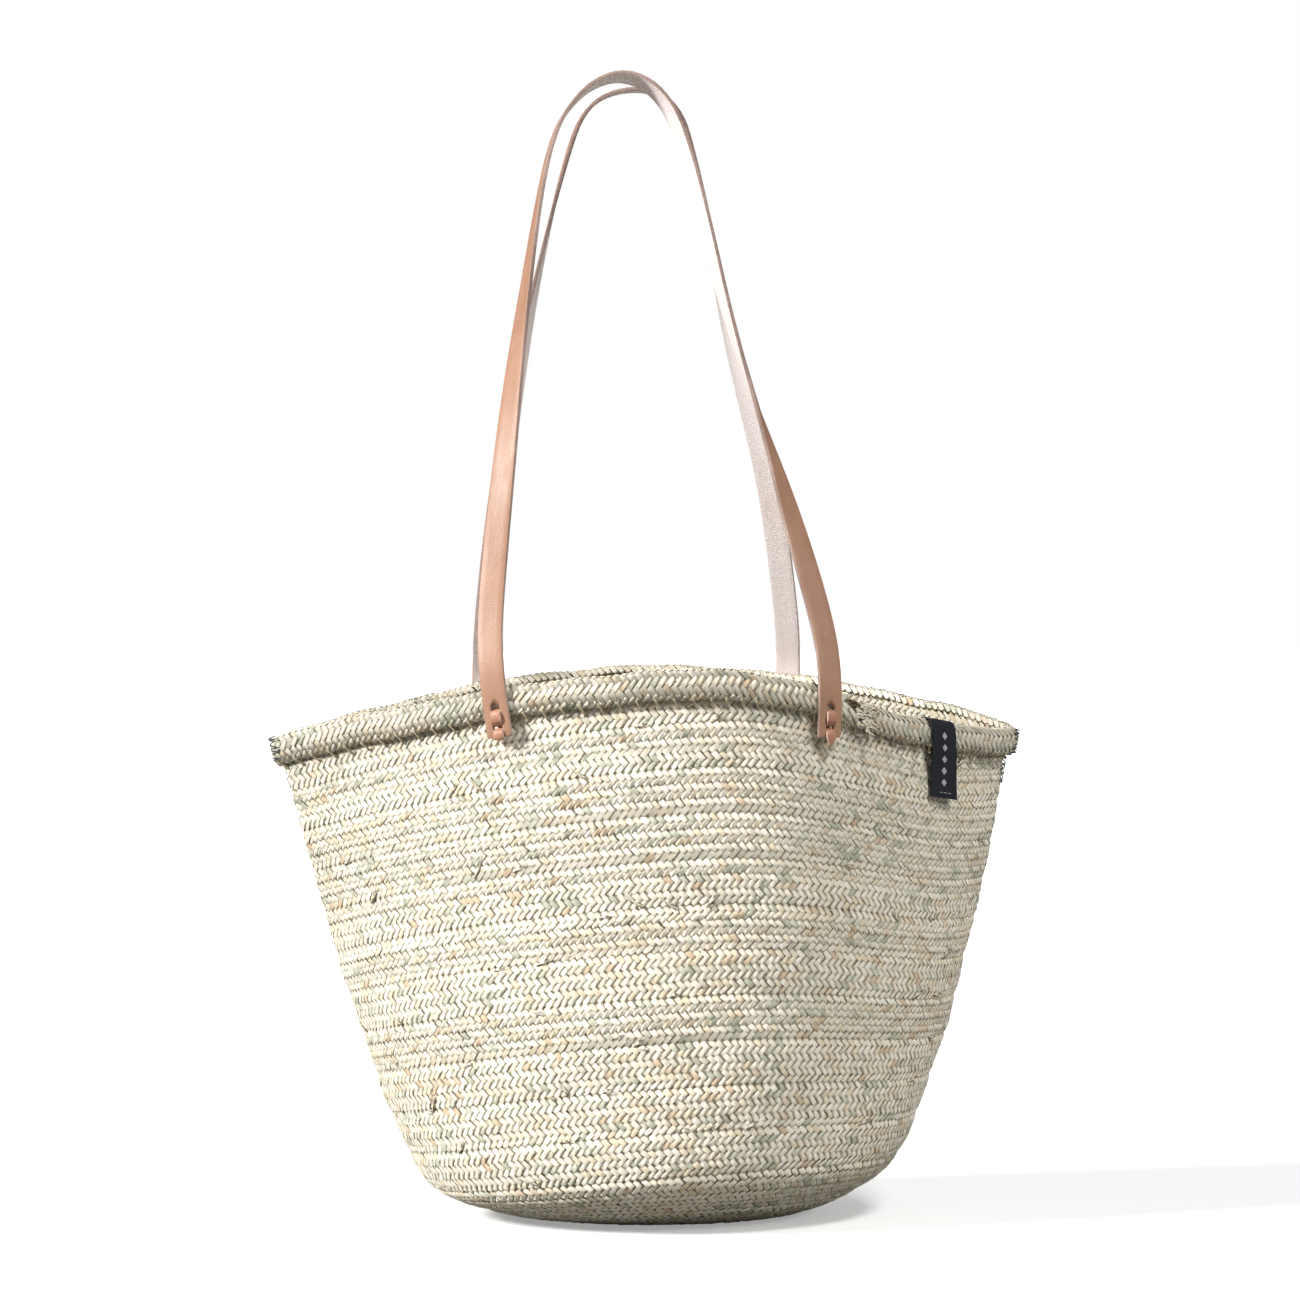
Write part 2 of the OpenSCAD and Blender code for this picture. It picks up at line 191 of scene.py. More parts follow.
class Recipe:
    """A material under construction: makes nodes, joins them and sets the shader's sockets."""

    def __init__(self, name: str) -> None:
        """Starts an empty material with one Principled shader.

        Args:
            name: the material's name.
        """
        self.material = bpy.data.materials.new(name)
        self.material.use_nodes = True
        self.tree = self.material.node_tree
        self.shader = self.tree.nodes["Principled BSDF"]

    def node(self, kind: str, **settings: object) -> bpy.types.Node:
        """Adds a node and sets its properties, or its inputs where no property has that name.

        Args:
            kind: the node's type without its family name.
            settings: property or input names, with underscores for spaces in input names.

        Returns:
            The new node.
        """
        node = self.tree.nodes.new("ShaderNode" + kind)
        for key, value in settings.items():
            if hasattr(node, key):
                setattr(node, key, value)
            else:
                node.inputs[key.replace("_", " ")].default_value = value
        return node

    def join(self, source: bpy.types.NodeSocket, target: bpy.types.NodeSocket) -> None:
        """Links one socket to another."""
        self.tree.links.new(source, target)

    def gloss(self, **sockets: object) -> None:
        """Sets uniform values on the shader's own sockets."""
        for key, value in sockets.items():
            self.shader.inputs[key.replace("_", " ")].default_value = value

    def attribute(self, name: str, output: str = "Fac") -> bpy.types.NodeSocket:
        """Reads a mesh attribute."""
        return self.node("Attribute", attribute_name=name).outputs[output]

    def place(self) -> bpy.types.NodeSocket:
        """Reads the surface's place on its object."""
        return self.node("TexCoord").outputs["Object"]

    def noise(self, where: bpy.types.NodeSocket, scale: float, detail: float = 3.0,
              rough: float = 0.55, stretch: tuple[float, float, float] = (1, 1, 1)) -> bpy.types.NodeSocket:
        """Adds a noise pattern.

        Args:
            where: the coordinates it reads.
            scale: how fine the pattern is.
            detail: how many finer layers it has.
            rough: how strong the finer layers are.
            stretch: how the coordinates are scaled first.

        Returns:
            The pattern, from 0 to 1.
        """
        mapping = self.node("Mapping", Scale=stretch)
        self.join(where, mapping.inputs["Vector"])
        noise = self.node("TexNoise", Scale=scale, Detail=detail, Roughness=rough)
        self.join(mapping.outputs["Vector"], noise.inputs["Vector"])
        return noise.outputs["Fac"]

    def ramp(self, value: bpy.types.NodeSocket, stops: list[tuple[float, tuple[float, ...]]],
             mode: str = "LINEAR") -> bpy.types.NodeSocket:
        """Turns a number into a colour.

        Args:
            value: the number, from 0 to 1.
            stops: positions and colours.
            mode: how it blends between the stops.

        Returns:
            The colour.
        """
        ramp = self.node("ValToRGB")
        ramp.color_ramp.interpolation = mode
        elements = ramp.color_ramp.elements
        for number, (position, colour) in enumerate(stops):
            element = elements[number] if number < 2 else elements.new(position)
            element.position = position
            element.color = (*colour, 1.0)
        self.join(value, ramp.inputs["Fac"])
        return ramp.outputs["Color"]

    def blend(self, amount: bpy.types.NodeSocket | float, first: bpy.types.NodeSocket | tuple[float, ...],
              second: bpy.types.NodeSocket | tuple[float, ...], mode: str = "MIX") -> bpy.types.NodeSocket:
        """Mixes two colours.

        Args:
            amount: how much of the second.
            first: the colour underneath.
            second: the colour on top.
            mode: how the second goes on.

        Returns:
            The mixed colour.
        """
        mix = self.node("Mix", data_type="RGBA", blend_type=mode)
        sockets = (mix.inputs["Factor"], mix.inputs[6], mix.inputs[7])
        for socket, value in zip(sockets, (amount, first, second)):
            if isinstance(value, bpy.types.NodeSocket):
                self.join(value, socket)
            elif isinstance(value, tuple):
                socket.default_value = (*value, 1.0)
            else:
                socket.default_value = value
        return mix.outputs[2]

    def spread(self, value: bpy.types.NodeSocket, low: float, high: float,
               lowest: float = 0.0, highest: float = 1.0) -> bpy.types.NodeSocket:
        """Maps a range of numbers to another, clamped.

        Args:
            value: the number.
            low: the value that becomes lowest.
            high: the value that becomes highest.
            lowest: the result at low.
            highest: the result at high.

        Returns:
            The mapped number.
        """
        spread = self.node("MapRange")
        for socket, number in zip(list(spread.inputs)[1:5], (low, high, lowest, highest)):
            socket.default_value = number
        self.join(value, spread.inputs["Value"])
        return spread.outputs["Result"]

    def math(self, operation: str, *values: bpy.types.NodeSocket | float) -> bpy.types.NodeSocket:
        """Works out one number from one or two.

        Args:
            operation: the sum to do.
            values: sockets or plain numbers.

        Returns:
            The result.
        """
        node = self.node("Math", operation=operation)
        for socket, value in zip(node.inputs, values):
            if isinstance(value, bpy.types.NodeSocket):
                self.join(value, socket)
            else:
                socket.default_value = value
        return node.outputs["Value"]

    def bump(self, height: bpy.types.NodeSocket, depth: float, strength: float = 1.0,
             under: bpy.types.NodeSocket | None = None) -> bpy.types.NodeSocket:
        """Adds relief to the surface.

        Args:
            height: the height pattern.
            depth: how deep it is, in metres.
            strength: how much of it shows.
            under: relief that this one goes on top of.

        Returns:
            The bent normal.
        """
        bump = self.node("Bump", Distance=depth, Strength=strength)
        self.join(height, bump.inputs["Height"])
        if under is not None:
            self.join(under, bump.inputs["Normal"])
        return bump.outputs["Normal"]

    def finish(self, colour: bpy.types.NodeSocket, roughness: bpy.types.NodeSocket | None = None,
               normal: bpy.types.NodeSocket | None = None) -> bpy.types.Material:
        """Joins the patterns to the shader.

        Args:
            colour: the base colour.
            roughness: the roughness, where it varies.
            normal: the relief.

        Returns:
            The finished material.
        """
        self.join(colour, self.shader.inputs["Base Color"])
        if roughness is not None:
            self.join(roughness, self.shader.inputs["Roughness"])
        if normal is not None:
            self.join(normal, self.shader.inputs["Normal"])
        return self.material


@dataclass(frozen=True)
class PalmLeafFinish:
    """Dried palm leaf: cream to straw, some leaves sage, some tan, with long fibres, and painted shade at
    each leaf's edges and where it dips under the leaves that cross it.
    """

    name: str = "palm_leaf"
    umber: tuple[float, float, float] = (0.60, 0.46, 0.31)
    tan: tuple[float, float, float] = (0.73, 0.61, 0.46)
    straw: tuple[float, float, float] = (0.74, 0.65, 0.47)
    cream: tuple[float, float, float] = (0.78, 0.72, 0.58)
    pale: tuple[float, float, float] = (0.85, 0.80, 0.69)
    sage: tuple[float, float, float] = (0.61, 0.61, 0.49)
    moss: tuple[float, float, float] = (0.46, 0.465, 0.355)
    # The colour and strength of the painted shade laid into each leaf's edges and dips.
    shade: tuple[float, float, float] = (0.20, 0.165, 0.12)
    streak: tuple[float, float, float] = (0.62, 0.58, 0.50)
    painted_crevice_shade: float = 0.8
    fibre_depth: float = 0.00018

    def material(self) -> bpy.types.Material:
        """Builds the material, which reads each leaf's tone, its own measures along and across, and its
        form, from which it paints shade along the leaf's edges and dips.

        Returns:
            The material.
        """
        recipe = Recipe(self.name)
        tone = recipe.attribute("leaf_tone")
        leaf = recipe.attribute("leaf_place", "Vector")
        colour = recipe.ramp(tone, [
            (0.0, self.umber), (1.0, self.moss), (0.05, self.tan), (0.16, self.straw), (0.32, self.cream),
            (0.52, self.pale), (0.70, self.cream), (0.86, self.sage)])
        fibres = recipe.noise(leaf, 1.0, 2.0, 0.6, (70.0, 2600.0, 1.0))
        streaks = recipe.ramp(fibres, [(0.30, self.streak), (0.62, (1, 1, 1))])
        colour = recipe.blend(0.34, colour, streaks, "MULTIPLY")
        drift = recipe.noise(recipe.place(), 22.0, 2.0, 0.5)
        colour = recipe.blend(recipe.spread(drift, 0.50, 0.72, 0.0, 0.28), colour, self.straw)
        stain = recipe.noise(leaf, 1.0, 3.0, 0.6, (60.0, 300.0, 3.0))
        colour = recipe.blend(recipe.spread(stain, 0.62, 0.80, 0.0, 0.45), colour, self.tan)
        # Painted shade: each leaf is darkened along its bevelled edges and where it dips under the crossing
        # leaves.
        form = recipe.node("SeparateXYZ")
        recipe.join(recipe.attribute("leaf_form", "Vector"), form.inputs["Vector"])
        edge = recipe.spread(recipe.math("ABSOLUTE", form.outputs["X"]), 0.80, 1.0)
        dip_shade_mask = recipe.spread(recipe.math("ABSOLUTE", form.outputs["Y"]), 0.42, 0.06)
        painted_crevice_shade = recipe.math("MULTIPLY", recipe.math("MAXIMUM", edge, dip_shade_mask), self.painted_crevice_shade)
        colour = recipe.blend(painted_crevice_shade, colour, self.shade, "MULTIPLY")
        rough = recipe.spread(fibres, 0.2, 0.8, 0.62, 0.44)
        recipe.gloss(Specular_IOR_Level=0.42, Sheen_Weight=0.08, Sheen_Roughness=0.5)
        return recipe.finish(colour, rough, recipe.bump(fibres, self.fibre_depth, 0.9))


class LeatherFace(Enum):
    """Which layer of a vegetable-tanned hide shows."""

    GRAIN = "strap_leather"
    FLESH = "strap_leather_flesh"
    CUT = "strap_leather_edge"
    LACE = "lace_leather"
    LACE_CUT = "lace_leather_edge"


@dataclass(frozen=True)
class LeatherFinish:
    """Natural vegetable-tanned leather, seen on one of its layers."""

    face: LeatherFace
    light: tuple[float, float, float]
    dark: tuple[float, float, float]
    rough: float = 0.5
    specular: float = 0.4
    pore_depth: float = 0.00012
    nap: float = 0.0

    def material(self) -> bpy.types.Material:
        """Builds the material, with soft cloudy colour, pores or loose fibres, and small scuffs.

        Returns:
            The material.
        """
        recipe = Recipe(self.face.value)
        where = recipe.place()
        cloud = recipe.noise(where, 26.0, 4.0, 0.6)
        colour = recipe.blend(recipe.spread(cloud, 0.32, 0.68), self.dark, self.light)
        fine = recipe.noise(where, 900.0, 3.0, 0.65)
        fleck = 0.35 if self.nap else 0.16
        flecks = recipe.ramp(fine, [(0.36, (0.58, 0.50, 0.46)), (0.60, (1, 1, 1))])
        colour = recipe.blend(fleck, colour, flecks, "MULTIPLY")
        scuff = recipe.noise(where, 60.0, 5.0, 0.7, (1, 1, 0.15))
        colour = recipe.blend(recipe.spread(scuff, 0.60, 0.74, 0.0, 0.22), colour, (0.90, 0.78, 0.66))
        rough = recipe.spread(scuff, 0.3, 0.8, self.rough - 0.06, self.rough + 0.14)
        pores = recipe.node("TexVoronoi", Scale=1100.0 if not self.nap else 700.0, feature="SMOOTH_F1")
        recipe.join(where, pores.inputs["Vector"])
        relief = recipe.bump(pores.outputs["Distance"], self.pore_depth, 0.6)
        relief = recipe.bump(fine, self.pore_depth * (1.0 + 2.0 * self.nap), 0.6, relief)
        recipe.gloss(Specular_IOR_Level=self.specular, Sheen_Weight=0.25 * self.nap, Sheen_Roughness=0.6)
        return recipe.finish(colour, rough, relief)


@dataclass(frozen=True)
class ThreadFinish:
    """Twisted thread, its plies winding round it."""

    name: str
    light: tuple[float, float, float]
    dark: tuple[float, float, float]

    def material(self) -> bpy.types.Material:
        """Builds the material from fine slanting plies.

        Returns:
            The material.
        """
        recipe = Recipe(self.name)
        where = recipe.place()
        plies = recipe.node("TexWave", Scale=420.0, Distortion=1.5, Detail=2.0)
        recipe.join(where, plies.inputs["Vector"])
        fuzz = recipe.noise(where, 1500.0, 3.0, 0.6)
        colour = recipe.blend(recipe.spread(plies.outputs["Fac"], 0.2, 0.8), self.dark, self.light)
        lint = recipe.ramp(fuzz, [(0.3, (0.6, 0.6, 0.6)), (0.65, (1, 1, 1))])
        colour = recipe.blend(0.3, colour, lint, "MULTIPLY")
        rough = recipe.spread(fuzz, 0.2, 0.8, 0.85, 0.65)
        recipe.gloss(Specular_IOR_Level=0.3, Sheen_Weight=0.3)
        return recipe.finish(colour, rough, recipe.bump(plies.outputs["Fac"], 0.0002))


@dataclass(frozen=True)
class RibbonFinish:
    """Black woven ribbon with a pale woven mark."""

    name: str = "label_ribbon"
    ground: tuple[float, float, float] = (0.012, 0.014, 0.020)
    weft: tuple[float, float, float] = (0.020, 0.022, 0.029)
    pale: tuple[float, float, float] = (0.55, 0.56, 0.58)

    def material(self) -> bpy.types.Material:
        """Builds the material, which reads the ribbon's own measures along and across.

        Returns:
            The material.
        """
        recipe = Recipe(self.name)
        ribbon = recipe.attribute("ribbon_place", "Vector")
        ribs = recipe.node("TexWave", Scale=290.0, bands_direction="X", wave_profile="SIN")
        recipe.join(ribbon, ribs.inputs["Vector"])
        warp = recipe.node("TexWave", Scale=420.0, bands_direction="Y", wave_profile="SIN")
        recipe.join(ribbon, warp.inputs["Vector"])
        lint = recipe.noise(ribbon, 900.0, 3.0, 0.6)
        colour = recipe.blend(recipe.spread(ribs.outputs["Fac"], 0.2, 0.9), self.ground, self.weft)
        colour = recipe.blend(recipe.spread(lint, 0.66, 0.80, 0.0, 0.25), colour, self.pale)
        mark = recipe.attribute("ribbon_mark")
        thread = recipe.blend(recipe.spread(ribs.outputs["Fac"], 0.1, 0.7), (0.20, 0.20, 0.21), self.pale)
        colour = recipe.blend(recipe.spread(mark, 0.45, 0.55), colour, thread)
        rough = recipe.spread(lint, 0.3, 0.7, 0.50, 0.72)
        weave = recipe.bump(warp.outputs["Fac"], 0.00006, 0.7)
        recipe.gloss(Specular_IOR_Level=0.22)
        return recipe.finish(colour, rough, recipe.bump(ribs.outputs["Fac"], 0.00012, 0.9, weave))


@dataclass(frozen=True)
class FloorFinish:
    """Matt white studio floor with the faintest unevenness."""

    name: str = "studio_floor"
    white: tuple[float, float, float] = (0.93, 0.928, 0.922)
    bounce: tuple[float, float, float] = (0.26, 0.255, 0.24)
    glow: float = 0.32

    def material(self) -> bpy.types.Material:
        """Builds the material.

        Returns:
            The material.
        """
        recipe = Recipe(self.name)
        cloud = recipe.noise(recipe.place(), 3.0, 2.0, 0.5)
        colour = recipe.blend(recipe.spread(cloud, 0.3, 0.7, 0.0, 0.3), self.white, (0.94, 0.94, 0.935))
        seen = recipe.node("LightPath").outputs["Is Camera Ray"]
        colour = recipe.blend(seen, self.bounce, colour)
        recipe.gloss(Roughness=0.85, Specular_IOR_Level=0.1)
        recipe.join(recipe.math("MULTIPLY", seen, self.glow), recipe.shader.inputs["Emission Strength"])
        return recipe.finish(colour)


@dataclass(frozen=True)
class Finishes:
    """Every finished material of the basket."""

    leaf: bpy.types.Material
    thread: bpy.types.Material
    fibre: bpy.types.Material
    grain: bpy.types.Material
    flesh: bpy.types.Material
    cut: bpy.types.Material
    lace: bpy.types.Material
    lace_cut: bpy.types.Material
    ribbon: bpy.types.Material
    stitch: bpy.types.Material

    @classmethod
    def mixed(cls) -> "Finishes":
        """Mixes every finish once.

        Returns:
            The set of finishes.
        """
        return cls(
            leaf=PalmLeafFinish().material(),
            thread=ThreadFinish("dark_thread", (0.085, 0.075, 0.07), (0.02, 0.018, 0.018)).material(),
            fibre=ThreadFinish("sewing_leaf", (0.62, 0.53, 0.36), (0.42, 0.34, 0.20)).material(),
            grain=LeatherFinish(LeatherFace.GRAIN, (0.47, 0.262, 0.168), (0.39, 0.205, 0.125), 0.45,
                                0.4).material(),
            flesh=LeatherFinish(LeatherFace.FLESH, (0.89, 0.81, 0.785), (0.84, 0.73, 0.69), 0.85, 0.15,
                                0.0002, 1.0).material(),
            cut=LeatherFinish(LeatherFace.CUT, (0.50, 0.36, 0.31), (0.27, 0.185, 0.155), 0.8, 0.2,
                              0.00025, 1.0).material(),
            lace=LeatherFinish(LeatherFace.LACE, (0.52, 0.26, 0.165), (0.38, 0.17, 0.10), 0.48,
                               0.4).material(),
            lace_cut=LeatherFinish(LeatherFace.LACE_CUT, (0.76, 0.60, 0.50), (0.60, 0.42, 0.33), 0.75, 0.2,
                                   0.0002, 1.0).material(),
            ribbon=RibbonFinish().material(),
            stitch=ThreadFinish("label_thread", (0.50, 0.50, 0.52), (0.30, 0.30, 0.32)).material(),
        )


# ---- the basket's surface -------------------------------------------------------------------


@dataclass(frozen=True)
class BasketSurface:
    """The middle of the basket's wall and floor, by turns of the coil and by the angle round it.

    The angle runs from the right corner over the rear to the left corner and the front, in degrees.
    Lengths are in metres.
    """

    floor_half_w: float = 0.140
    mouth_half_w: float = 0.231
    floor_front: float = 0.117
    floor_rear: float = 0.112
    mouth_depth: float = 0.121
    corner_h: float = 0.300
    front_arch: float = 0.041
    rear_arch: float = 0.038
    crease_h: float = 0.022
    crease_rise: float = 0.009
    crease_tilt: float = 0.006
    floor_shift: float = 0.0085
    belly_side: float = 0.032
    belly_front: float = 0.020
    mouth_front_x: float = 0.025
    mouth_rear_x: float = 0.010
    plait_t: float = 0.003
    floor_turns: float = 4.2
    wall_turns: float = 11.3
    crease_round: float = 0.3
    flat_floor: float = 0.42
    coil_start: float = 126.0
    fold_angle: float = 306.0
    corner_soft: float = 0.008

    @property
    def rim_turn(self) -> float:
        """The turn number of the rim."""
        return self.floor_turns + self.wall_turns

    @property
    def plait_w(self) -> float:
        """The plait's width."""
        return self.floor_front / self.floor_turns

    def plan_x(self, angle: np.ndarray, half_w: np.ndarray, apex_x: np.ndarray,
               point: np.ndarray) -> np.ndarray:
        """Gives x on a closed outline that goes from an ellipse to a lens with pointed ends.

        Args:
            angle: degrees round the outline.
            half_w: half its width.
            apex_x: where its front or rear bows out most.
            point: 0 for the ellipse, 1 for the lens.

        Returns:
            The x of each point.
        """
        cosine = np.cos(np.radians(angle))
        off_corner = np.arcsin(np.clip(np.abs(np.sin(np.radians(angle))), 0, 1)) / (math.pi / 2)
        off_corner = np.sqrt(off_corner**2 + self.corner_soft**2)
        reach = np.abs(cosine) * (1 - point) + (1 - off_corner) * point
        return np.where(cosine >= 0, apex_x + (half_w - apex_x) * reach, apex_x - (half_w + apex_x) * reach)

    def rim_height(self, angle: np.ndarray) -> np.ndarray:
        """Gives the rim's height, which falls from its middle to the two corners.

        Args:
            angle: degrees round the basket.

        Returns:
            The heights.
        """
        sine, cosine = np.sin(np.radians(angle)), np.cos(np.radians(angle))
        front = self.front_arch * np.clip(-sine, 0, 1) ** np.where(cosine > 0, 2.6, 1.0)
        rear = self.rear_arch * np.clip(sine, 0, 1) ** np.where(cosine > 0, 0.8, 1.05)
        return self.corner_h + 0.002 * cosine + np.where(sine < 0, front, rear)

    def middle(self, turn: np.ndarray, angle: np.ndarray) -> np.ndarray:
        """Gives points in the middle of the wall's thickness.

        Args:
            turn: turns out from the middle of the floor, then up the wall.
            angle: degrees round the basket.

        Returns:
            A table of points.
        """
        turn, angle = np.broadcast_arrays(np.asarray(turn, float), np.asarray(angle, float))
        past = turn - self.floor_turns
        above = (past + np.sqrt(past * past + self.crease_round**2)) / 2
        up = above / self.wall_turns
        over = np.maximum((turn - above) / self.floor_turns, 0.0)
        belly = np.sqrt(up) * (1 - up)
        sine, cosine = np.sin(np.radians(angle)), np.cos(np.radians(angle))
        half_w = (self.floor_half_w - self.floor_front * (1 - over)
                  + (self.mouth_half_w - self.floor_half_w) * up + self.belly_side * belly)
        floor_y = np.where(sine < 0, self.floor_front, self.floor_rear)
        half_d = floor_y * over + (self.mouth_depth - floor_y) * up + self.belly_front * belly
        apex_x = np.where(sine < 0, self.mouth_front_x, self.mouth_rear_x) * up
        crease = self.crease_h + self.crease_rise * sine**2 + self.crease_tilt * cosine
        dish = np.clip((over - self.flat_floor) / (1 - self.flat_floor), 0, None) ** 1.8
        x = self.plan_x(angle, half_w, apex_x, up**1.5) + self.floor_shift * (1 - up**1.7)
        z = crease * dish + (self.rim_height(angle) - crease) * up + self.plait_t / 2
        return np.stack([x, half_d * sine, z], axis=-1)

    def up_dir(self, turn: np.ndarray, angle: np.ndarray) -> np.ndarray:
        """Gives the directions up the wall."""
        turn = np.maximum(turn, 0.03)
        return unit_rows(self.middle(turn + 0.02, angle) - self.middle(turn - 0.02, angle))

    def round_dir(self, turn: np.ndarray, angle: np.ndarray) -> np.ndarray:
        """Gives the directions round the wall."""
        turn = np.maximum(turn, 0.03)
        return unit_rows(self.middle(turn, angle + 1.0) - self.middle(turn, angle - 1.0))

    def out_dir(self, turn: np.ndarray, angle: np.ndarray) -> np.ndarray:
        """Gives the directions straight out of the wall.

        Args:
            turn: turns out from the middle of the floor.
            angle: degrees round the basket.

        Returns:
            The directions, each of length one.
        """
        out = np.cross(self.round_dir(turn, angle), self.up_dir(turn, angle))
        flat = np.asarray(turn, float) < 0.9
        out = np.where(flat[..., None], np.array([0.0, 0.0, -1.0]), out)
        return unit_rows(out)

    def place(self, turn: np.ndarray, angle: np.ndarray, out: np.ndarray) -> np.ndarray:
        """Gives points a distance out from the middle of the wall."""
        return self.middle(turn, angle) + np.asarray(out)[..., None] * self.out_dir(turn, angle)

    def hem_place(self, angle: np.ndarray, down: np.ndarray, out: np.ndarray) -> np.ndarray:
        """Gives points a distance below the rim and out from the middle of the wall."""
        turn = self.rim_turn - np.asarray(down, float) / self.plait_w
        return self.place(*np.broadcast_arrays(turn, np.asarray(angle, float), np.asarray(out, float)))

    def angle_at(self, x: float, low: float, high: float) -> float:
        """Finds the angle at which the rim passes an x, by halving.

        Args:
            x: where along the basket.
            low: one end of the range of angles.
            high: the other end.

        Returns:
            The angle in degrees.
        """
        start = self.middle(self.rim_turn, low)[0]
        for _ in range(30):
            middle = (low + high) / 2
            if (self.middle(self.rim_turn, middle)[0] - x) * (start - x) > 0:
                low = middle
            else:
                high = middle
        return (low + high) / 2


# ---- plaited leaf ---------------------------------------------------------------------------


@dataclass(frozen=True)
class LeafStock:
    """The split leaves that the plait is made of, and how they cross: over two, under two."""

    pitch: float = 0.0046
    rows: int = 6
    width: float = 0.0035
    thickness: float = 0.00085
    lift: float = 0.00052
    sides: int = 6
    step_run: float = 0.26
    flatness: float = 0.32
    fullness: float = 1.1
    end_taper: float = 0.55
    width_spread: float = 0.07
    lift_spread: float = 0.10
    drift: float = 0.00018
    wander: float = 0.00016
    ruffle: float = 0.00010
    twist: float = 0.00016
    crossing_run: float = 0.0032

    @property
    def levels(self) -> int:
        """How many crossings a leaf makes on its way over the plait."""
        return 2 * self.rows

    def stations(self) -> np.ndarray:
        """Gives where the leaf's rings are, in crossings from the plait's lower edge."""
        crossings = np.arange(1.5, self.levels - 1.0, 2.0)
        ends = np.array([-0.5, -0.1, self.levels - 0.9, self.levels - 0.5])
        return np.sort(np.concatenate([ends, crossings - self.step_run, crossings + self.step_run]))

    def heights(self, family: np.ndarray, ring: np.ndarray) -> np.ndarray:
        """Gives how high each ring rides, in lifts: up for one family where the other is down.

        Args:
            family: 0 for the leaves that lean right, 1 for those that lean left.
            ring: the ring's number along the leaf.

        Returns:
            Heights from -1 to 1.
        """
        marks = self.stations()[ring]
        over = np.where(np.floor((marks + 0.5) / 2.0) % 2 == 0, 1.0, -1.0)
        high = over * np.where(family == 0, 1.0, -1.0)
        return np.where(np.isclose(np.mod(marks, 1.0), 0.5), 0.25 * high, high)


@dataclass
class LeafBatch:
    """A mesh of many straight leaves and, for each vertex, where it is on its leaf."""

    mesh: bpy.types.Mesh
    leaf: np.ndarray
    ring: np.ndarray
    side: np.ndarray
    face: np.ndarray

    @classmethod
    def cut(cls, name: str, count: int, rings: int, sides: int = 4) -> "LeafBatch":
        """Cuts leaves as closed tubes side by side, each a small section drawn out ring by ring.

        Args:
            name: the mesh's name.
            count: how many leaves.
            rings: how many rings each has.
            sides: how many sides the section has.

        Returns:
            The batch.
        """
        apart = 10.0
        work = bmesh.new()
        bmesh.ops.create_circle(work, cap_ends=True, segments=sides, radius=1.0,
                                matrix=Matrix.Rotation(math.pi / 2, 4, "Y"))
        cap = work.faces[:]
        for _ in range(rings - 1):
            drawn = bmesh.ops.extrude_face_region(work, geom=cap)["geom"]
            cap = [part for part in drawn if isinstance(part, bmesh.types.BMFace)]
            bmesh.ops.translate(work, verts=list({v for f in cap for v in f.verts}), vec=(1, 0, 0))
        bmesh.ops.recalc_face_normals(work, faces=work.faces)
        for edge in work.edges:
            edge.smooth = abs(edge.verts[0].co.x - edge.verts[1].co.x) < 0.5
        group = math.ceil(math.sqrt(count))
        for step, copies in ((apart, group), (apart * group, math.ceil(count / group))):
            if copies > 1:
                bmesh.ops.spin(work, geom=work.verts[:] + work.edges[:] + work.faces[:], cent=(0, 0, 0),
                               axis=(0, 0, 1), dvec=(0, step, 0), angle=0.0, steps=copies - 1,
                               use_duplicate=True)
        spare = [vert for vert in work.verts if vert.co.y > apart * (count - 0.5)]
        bmesh.ops.delete(work, geom=spare, context="VERTS")
        mesh = bpy.data.meshes.new(name)
        for face in work.faces:
            face.smooth = True
        work.to_mesh(mesh)
        work.free()
        points = read_points(mesh)
        leaf = np.rint(points[:, 1] / apart).astype(int)
        side = points[:, 1] - leaf * apart
        return cls(mesh, leaf, np.rint(points[:, 0]).astype(int), side, points[:, 2])


